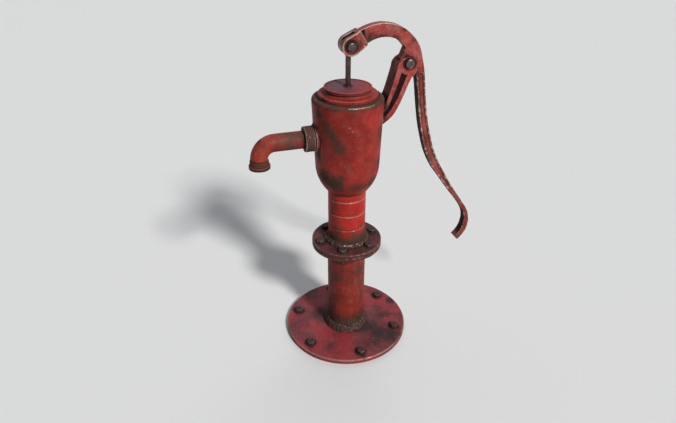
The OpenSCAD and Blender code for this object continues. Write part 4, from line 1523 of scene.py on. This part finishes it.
@dataclass
class Cap(Assembly):
    """Stepped cover of the bowl with its set screws and the rod's bush."""

    foot: float = 677.0
    height: float = 23.5
    disc_r: float = 55.5
    disc_h: float = 6.0
    skirt_r: float = 69.5
    skirt_h: float = 9.0
    register_r: float = 63.1
    recess: float = 8.1
    bush_r: float = 11.0
    bush_bore: float = 6.16
    bush_proud: float = 1.2
    screw_r: float = 2.5
    screw_turn: float = -98.0
    screws: int = 3

    def build(self) -> None:
        """Makes and dresses the cap."""
        neck = self.height - self.disc_h
        cove = (neck - self.skirt_h) * 0.6
        cove_r, cove_z = self.disc_r + cove / 2, neck - cove / 2
        groove = 0.9
        corners = [
            Corner(self.register_r, 0),
            Corner(self.skirt_r, 0, 0.7),
            Corner(self.skirt_r, self.skirt_h, 2.5),
            Corner(cove_r, self.skirt_h, 0.4),
            *arc(cove_r, cove_z, cove, -90, -197, 12),
            Corner(self.disc_r, neck - 1, 0.8),
            *arc(self.disc_r, neck + 2.2, groove, -90, -270, 9),
            Corner(self.disc_r, self.height, 2.0),
            Corner(self.disc_r - 4.5, self.height, 0.6),
            Corner(self.disc_r - 4.9, self.height - 0.8, 0.5),
            Corner(self.bush_r - 0.3, self.height - 0.8),
            Corner(self.bush_r - 0.3, self.recess),
            Corner(self.register_r, self.recess),
        ]
        place = Matrix.Translation((0, 0, self.foot))
        made = turned(profile(corners, 1.0), 480).placed(place).as_object("cap_casting")
        roughen(made, 18.0, 0.22, 71.0)
        self.drill(made)
        mark_wear(made, 3, 1.8, 0.8)
        foot, top = self.foot, self.foot + self.height
        spots = [
            Spot((0, 0, foot + cove_z), (400, 400, 5.5), 0.5),
            Spot((-40, 30, top), (34, 34, 10), 0.4),
            Spot((0, 0, top), (20, 20, 8), 0.6),
            Spot((-62, -24, foot + 5), (14, 16, 12), 0.6),
            Spot((30, -60, foot + 7), (30, 14, 5), 0.4),
        ]
        mark_spots(made, Mark.STAIN, spots)
        scratches = [
            Spot((-44, -53, foot + 9), (9, 9, 4), 0.6),
            Spot((-34, -60, foot + 8), (7, 8, 4), 0.5),
            Spot((-52, -45, foot + 7), (6, 8, 4), 0.5),
            Spot((22, -65, foot + 9), (12, 9, 3), 0.45),
        ]
        mark_spots(made, Mark.SCUFF, scratches)
        at = coords(made.data)
        # painted reflection: the disc top runs from a bluish sky sheen at the left back to red at the right front
        disc = (at[:, 2] > top - 1.4) & (np.hypot(at[:, 0], at[:, 1]) < self.disc_r - 4)
        mark(made, Mark.DUST_AND_SKY_SHEEN, disc * (0.72 - 0.5 * (at @ np.array((0.9, -0.44, 0.0))) / self.disc_r))
        self.show(made, CAP_PAINT, "red_casting", "cap")
        self.bush()
        self.keep(BOLT_STEEL, "cap_screws")

    def drill(self, cap: bpy.types.Object) -> None:
        """Sinks the set screws' holes into the skirt."""
        at = coords(cap.data)
        deep = 1.4
        for x, y, _ in places(1.0, self.screw_turn, self.screws):
            out = np.array((x, y, 0.0))
            off = at - out * self.skirt_r - (0, 0, self.foot + (self.skirt_h - 2.5) / 2)
            away = np.linalg.norm(off - np.outer(off @ out, out), axis=1)
            hole = (away < self.screw_r + 0.15) & (np.abs(off @ out) < 1.5)
            at[hole] -= out * deep
        put(cap.data, at)

    def bush(self) -> None:
        """Bronze bush with a broken edge."""
        top = self.height + self.bush_proud
        corners = [
            Corner(self.bush_bore, self.recess),
            Corner(self.bush_r, self.recess),
            Corner(self.bush_r, top, 0.8),
            Corner(self.bush_bore, top, 0.9),
        ]
        place = Matrix.Translation((0, 0, self.foot))
        made = turned(profile(corners, 1.2), 96).placed(place).as_object("rod_guide_bush")
        mark_wear(made, 1, 1.0)
        self.show(made, BUSH_BRONZE, "bronze", "rod_bush")


@dataclass(frozen=True)
class Pin:
    """Headed cross pin with a washer and a split pin: places and sizes in mm."""

    name: str
    x: float
    z: float
    d: float
    head_t: float
    half: float
    washer_t: float = 2.0
    end: float = 7.5
    wire: float = 1.6
    play: float = 0.15

    def across(self, y: float) -> Matrix:
        """Stands a turned piece along -Y from a depth."""
        return Matrix.Translation((self.x, y, self.z)) @ Matrix.Rotation(math.pi / 2, 4, "X")

    def shank(self) -> Solid:
        """Pin from its domed head to its chamfered end."""
        r, head = self.d / 2 - self.play, self.d * 0.75
        tip = -2 * self.half - self.washer_t - self.end
        corners = [
            Corner(0, tip),
            Corner(r - 1, tip),
            Corner(r, tip + 1),
            Corner(r, 0, 0.2),
            Corner(head, 0, 0.5),
            Corner(head, self.head_t * 0.82, self.head_t * 0.35),
            Corner(head * 0.55, self.head_t * 0.97),
            Corner(0, self.head_t),
        ]
        return turned(profile(corners, 1.2, False), 64, False).placed(self.across(-self.half))

    def washer(self) -> Solid:
        """Flat washer with rounded rims."""
        hole, out, thick = self.d / 2 + 0.1, self.d * 0.85, self.washer_t
        corners = [Corner(hole, 0), Corner(out, 0, 0.5), Corner(out, thick, 0.7), Corner(hole, thick)]
        flip = Matrix.Rotation(math.pi, 4, "X")
        return turned(profile(corners, 1.0), 72).placed(self.across(self.half) @ flip)

    def soil_and_shade(self, obj: bpy.types.Object) -> None:
        """Marks dirt and painted shade round the head, heaped on its upper left, and the line of the boss it beds on.
        """
        x, y, z = coords(obj.data).T
        off, head = np.hypot(x - self.x, z - self.z), self.d * 0.75
        lean = 0.5 + 0.5 * (self.x - x + 0.4 * (z - self.z)) / np.maximum(off, 1)
        least, more, soft = 1.5, 3.5, 2.5
        boss_edge, line_half = 5.5, 1.6
        # caught: dirt round the head, with painted shade heaped on its upper left as a crescent
        caught = np.clip((head + least + more * lean - off) / soft, 0, 1)
        line = 0.7 * np.clip(line_half - np.abs(off - head - boss_edge), 0, 1)
        mark(obj, Mark.HOLLOW, (np.abs(y) > self.half - 2) * np.maximum(caught, line), over=True)

    def cotter(self) -> Solid:
        """Split pin: an eye above the pin and two legs bent apart below it."""
        y = self.half + self.washer_t + 2 * self.wire
        r, eye = self.d / 2, 1.9
        lean = 0.8
        leg = [(lean + 3.6, -r - 4.6), (lean + 1.9, -r - 2.6), (lean, -r - 0.8), (lean, 0.0), (lean, r + 0.8)]
        ring = [(eye * math.sin(a), r + 3.4 - eye * math.cos(a)) for a in np.linspace(0.5, math.pi, 9)]
        right = leg + ring
        line = right + [(-x, z) for x, z in reversed(right[:-1])]
        path = np.array([(self.x + x, y, self.z + z) for x, z in line])
        fine = np.vstack([path[:-1] + (path[1:] - path[:-1]) * u for u in (0.0, 0.5)])
        order = np.argsort(np.tile(np.arange(len(path) - 1), 2) + np.repeat((0.0, 0.5), len(path) - 1))
        fine = np.vstack([fine[order], path[-1:]])
        return swept(fine, np.full(len(fine), self.wire * 0.48), 12)

    def build(self, carrier: Assembly) -> None:
        """Makes and dresses the pin, its washer and its split pin.

        Args:
            carrier: the sub-assembly that shows them.
        """
        for solid, piece, node in (
            (self.shank(), "pin_turned", "pin"),
            (self.washer(), "pin_washer", "washer"),
            (self.cotter(), "split_pin", "cotter"),
        ):
            made = solid.as_object(f"{self.name}_{piece}")
            mark_wear(made, 1, 1.2)
            carrier.show(made, PIN_STEEL, "pin_steel", f"{self.name}_{node}")


FULCRUM = Pin("fulcrum", 139.0, 745.0, 14.0, 6.0, 21.0)
FORK = Pin("fork", 2.0, 790.5, 12.0, 4.5, 18.25)


@dataclass
class HandleBracket(Assembly):
    """Two-rib bracket on the bowl with the lever's pin."""

    voxel: float = 0.9
    pin: Pin = FULCRUM

    def build(self) -> None:
        """Makes and dresses the bracket and its pin."""
        made = cast_from("handle_bracket", "bracket_casting", self.voxel, 3)
        roughen(made, 14.0, 0.25, 81.0)
        # extra hollow strength: more dirt and painted shade in the channel
        mark_wear(made, 2, 2.0, 1.6)
        at, facing = coords(made.data), normals(made.data)
        # painted shade: the channel between the ribs goes near black, and faces turned towards -X, away from the lamp,
        # darken
        channel_from, channel_half = 92, 13
        inside = (at[:, 0] > channel_from) & (np.abs(at[:, 1]) < channel_half) & (np.abs(facing[:, 1]) > 0.5)
        mark(made, Mark.HOLLOW, np.maximum(inside * 0.95, np.clip(-facing[:, 0] - 0.5, 0, 0.22)), over=True)
        self.pin.soil_and_shade(made)
        spots = [
            Spot((88, 0, 650), (18, 60, 16), 0.8),
            Spot((86, 0, 618), (18, 60, 16), 0.8),
            Spot((118, 18, 700), (16, 14, 22), 0.5),
            Spot((139, -21, 745), (17, 4, 17), 0.7),
            Spot((139, 21, 745), (20, 4, 20), 0.8),
        ]
        mark_spots(made, Mark.STAIN, spots)
        self.show(made, LEVER_PAINT, "lever_paint", "handle_bracket")
        self.pin.build(self)


@dataclass
class Lever(Assembly):
    """Cast lever with its fork, and the fork's pin."""

    body: Body = Body.HANDLE
    voxel: float = 1.0
    pin: Pin = FORK

    def build(self) -> None:
        """Makes and dresses the lever and its pin."""
        made = cast_from("lever", "lever_casting", self.voxel, 3)
        roughen(made, 16.0, 0.25, 91.0)
        edge = mark_wear(made, 2, 2.0, 0.6)
        at, facing = coords(made.data), normals(made.data)
        grip_top, belly_top, arch_low, arch_from = 735, 738, 740, 36
        fork_end, throat_end, throat_half = 42, 34, 11
        knocks = np.clip(wobble(at, 10.0, 97.0) * 4 - 0.3, 0, 1)
        handled = np.clip((grip_top - at[:, 2]) / 20, 0, 1) * knocks
        skyward = facing @ np.array((0.35, 0.0, 0.94)) > 0.35
        # wear and painted highlight: upward edges along the arch's top are scuffed pale
        top_wear_and_highlight = ((at[:, 0] > arch_from) & (at[:, 2] > arch_low) & skyward) * 0.9
        fork = (at[:, 0] < fork_end) * 0.5
        mark(made, Mark.SCUFF, np.maximum.reduce([handled, top_wear_and_highlight, fork]) * np.clip(edge, 0, 1))
        # painted shade: lower faces turned towards -X and down, away from the lamp, and the inner faces of the fork's
        # cheeks go near black
        under = (at[:, 2] < belly_top) * np.clip(facing @ np.array((-0.94, 0.0, -0.34)) * 2 - 0.9, 0, 0.95)
        inside = (at[:, 0] < throat_end) & (np.abs(at[:, 1]) < throat_half) & (np.abs(facing[:, 1]) > 0.5)
        mark(made, Mark.HOLLOW, np.maximum(under, inside * 0.95), over=True)
        self.pin.soil_and_shade(made)
        spots = [
            Spot((10, -19, 794), (34, 6, 24), 0.75),
            Spot((34, 0, 806), (9, 40, 24), 0.7),
            Spot((46, -11, 806), (16, 9, 26), 0.7),
            Spot((72, -11, 804), (30, 9, 13), 0.9),
            Spot((104, -11, 799), (24, 9, 13), 0.85),
            Spot((126, -11, 820), (16, 9, 13), 0.5),
            Spot((150, -11, 796), (18, 9, 22), 0.45),
            Spot((124, -11, 768), (16, 9, 18), 0.7),
            Spot((160, -11, 716), (20, 9, 16), 0.8),
            Spot((139, 0, 745), (26, 12, 26), 0.7),
            Spot((190, 11, 560), (16, 6, 40), 0.6),
            Spot((340, 0, 275), (14, 30, 30), 0.5),
            Spot((100, 11, 815), (26, 6, 16), 0.6),
        ]
        mark_spots(made, Mark.STAIN, spots)
        mark(made, Mark.STAIN, (at[:, 2] < grip_top) * (0.2 + 0.24 * wobble(at, 24.0, 93.0)), over=True)
        self.show(made, LEVER_PAINT, "lever_paint", "lever")
        self.pin.build(self)


@dataclass
class PlungerRod(Assembly):
    """Rod with its slotted head, and the plunger inside the barrel."""

    body: Body = Body.ROD
    rod_r: float = 6.1
    foot: float = 417.0
    top: float = 777.0

    def build(self) -> None:
        """Makes and dresses the rod and its pieces."""
        corners = [Corner(0, self.foot), Corner(self.rod_r - 1, self.foot), Corner(self.rod_r, self.foot + 1)]
        corners += [Corner(self.rod_r, self.top), Corner(0, self.top)]
        made = turned(profile(corners, 3.0, False), 64, False).as_object("drawn_rod")
        self.show(made, ROD_STEEL, "rod_steel", "piston_rod")
        head = cast_from("rod_head", "rod_eye_forging", 0.7, 2)
        mark_wear(head, 2, 1.6)
        self.show(head, ROD_STEEL, "rod_steel", "rod_head")
        self.keep(ROD_STEEL, "valve_stop", "plunger_nut")
        self.keep(PLAIN_IRON, "plunger_body", "plunger_follower")
        self.keep(LEATHER, "cup_leather")
        self.keep(BRONZE, "plunger_valve")


# Studio


@dataclass(frozen=True)
class Seamless(Finish):
    """Matt studio paper.

    The eye sees a pale, even tone with a trace of tooth. It throws little light back, as paper far from the lamps
    does, so the object keeps its shaded side.
    """

    tone: str = "#efeeec"
    bounce: str = "#7c7c7c"
    tooth_mm: float = 2.0

    def surface(self, tree: bpy.types.NodeTree) -> bpy.types.NodeSocket:
        """Shows the pale tone to the eye and in gloss, and the darker one to scattered light."""
        place = add(tree, "ShaderNodeTexCoord", out="Object")
        tooth = add(tree, NOISE, {"Vector": place, "Scale": per_mm(self.tooth_mm), "Detail": 2.0})
        bump = add(tree, BUMP, {"Strength": 0.05, "Distance": 0.2 * MM, "Height": tooth})
        seen = add(tree, "ShaderNodeLightPath", out="Is Camera Ray")
        for name in ("Is Glossy Ray", "Is Transmission Ray"):
            ray = add(tree, "ShaderNodeLightPath", out=name)
            seen = add(tree, MATH, {0: seen, 1: ray}, operation="MAXIMUM")
        tone = add(tree, MIX, {0: seen, 6: linear(self.bounce), 7: linear(self.tone)}, out=2, data_type="RGBA")
        return add(tree, SURFACE, {"Base Color": tone, "Roughness": 0.95, "Normal": bump})


@dataclass
class Studio:
    """Floor, soft light and the camera at the photograph's angle."""

    floor_half: float = 14.0
    eye: tuple[float, float, float] = (-0.36689, -1.16689, 1.0914)
    heading: float = 16.4
    pitch: float = 30.54
    lens: float = 29.489
    sensor: float = 36.0
    key_from: tuple[float, float, float] = (0.28, -0.74, 0.61)
    key_strength: float = 2.75
    key_width: float = 9.0
    sky: str = "#d6dde8"
    sky_front: float = 0.11
    sky_back: float = 0.6
    fill_from: tuple[float, float, float] = (0.45, 0.8, 0.4)
    fill_strength: float = 0.9
    fill_width: float = 60.0
    backdrop: str = "#d3d5d7"

    def build(self) -> None:
        """Sets up the studio."""
        s = self.floor_half
        sheet = Solid(np.array([(-s, -s, 0), (s, -s, 0), (s, s, 0), (-s, s, 0)]) / MM, [(0, 1, 2, 3)])
        floor = sheet.as_object("studio_floor")
        floor.location.z = -0.0002
        floor.data.materials.append(Seamless("matt_studio_paper").material())
        self.lamps()
        self.world()
        self.camera()

    def lamps(self) -> None:
        """A wide key in front and a wider fill behind, both far away, so that the floor is lit evenly."""
        for name, way, strength, width in (
            ("key", self.key_from, self.key_strength, self.key_width),
            ("fill", self.fill_from, self.fill_strength, self.fill_width),
        ):
            data = bpy.data.lights.new(name, "SUN")
            data.energy, data.angle = strength, math.radians(width)
            made = bpy.data.objects.new(name, data)
            made.rotation_euler = Vector(way).to_track_quat("Z", "Y").to_euler()
            made.visible_glossy = name == "key"
            bpy.context.scene.collection.objects.link(made)

    def world(self) -> None:
        """Even light from all round, with a pale backdrop where it is seen."""
        world = bpy.data.worlds.new("studio_air")
        world.use_nodes = True
        tree = world.node_tree
        tree.nodes.clear()
        way = add(tree, "ShaderNodeSeparateXYZ", {0: add(tree, "ShaderNodeTexCoord", out="Generated")}, out="Y")
        behind = add(tree, STEP, {0: way, 1: -0.1, 2: 0.9, 3: self.sky_front, 4: self.sky_back})
        air = add(tree, "ShaderNodeBackground", {"Color": linear(self.sky), "Strength": behind})
        wall = add(tree, "ShaderNodeBackground", {"Color": linear(self.backdrop)})
        direct = add(tree, "ShaderNodeLightPath", out="Is Camera Ray")
        both = add(tree, "ShaderNodeMixShader", {0: direct, 1: air, 2: wall})
        add(tree, "ShaderNodeOutputWorld", {"Surface": both})
        bpy.context.scene.world = world

    def camera(self) -> None:
        """Camera from the photograph's own place and lens."""
        data = bpy.data.cameras.new("photo_camera")
        data.sensor_fit, data.sensor_width, data.lens = "HORIZONTAL", self.sensor, self.lens
        data.clip_start, data.clip_end = 0.01, 100.0
        turn, dip = math.radians(self.heading), math.radians(self.pitch)
        ahead = Vector((math.sin(turn) * math.cos(dip), math.cos(turn) * math.cos(dip), -math.sin(dip)))
        made = bpy.data.objects.new("photo_camera", data)
        made.location = self.eye
        made.rotation_euler = ahead.to_track_quat("-Z", "Y").to_euler()
        bpy.context.scene.collection.objects.link(made)
        bpy.context.scene.camera = made
        bpy.context.scene.view_settings.view_transform = "Standard"


def main() -> None:
    """Builds the studio and every sub-assembly, in order from the ground up."""
    logging.basicConfig(level=logging.INFO, format="%(name)s: %(message)s")
    for kind in (Studio, Foot, FlangeJoint, Barrel, Bowl, Spout, Cap, HandleBracket, Lever, PlungerRod):
        log.info("building %s", kind.__name__)
        kind().build()


if __name__ == "__main__":
    main()
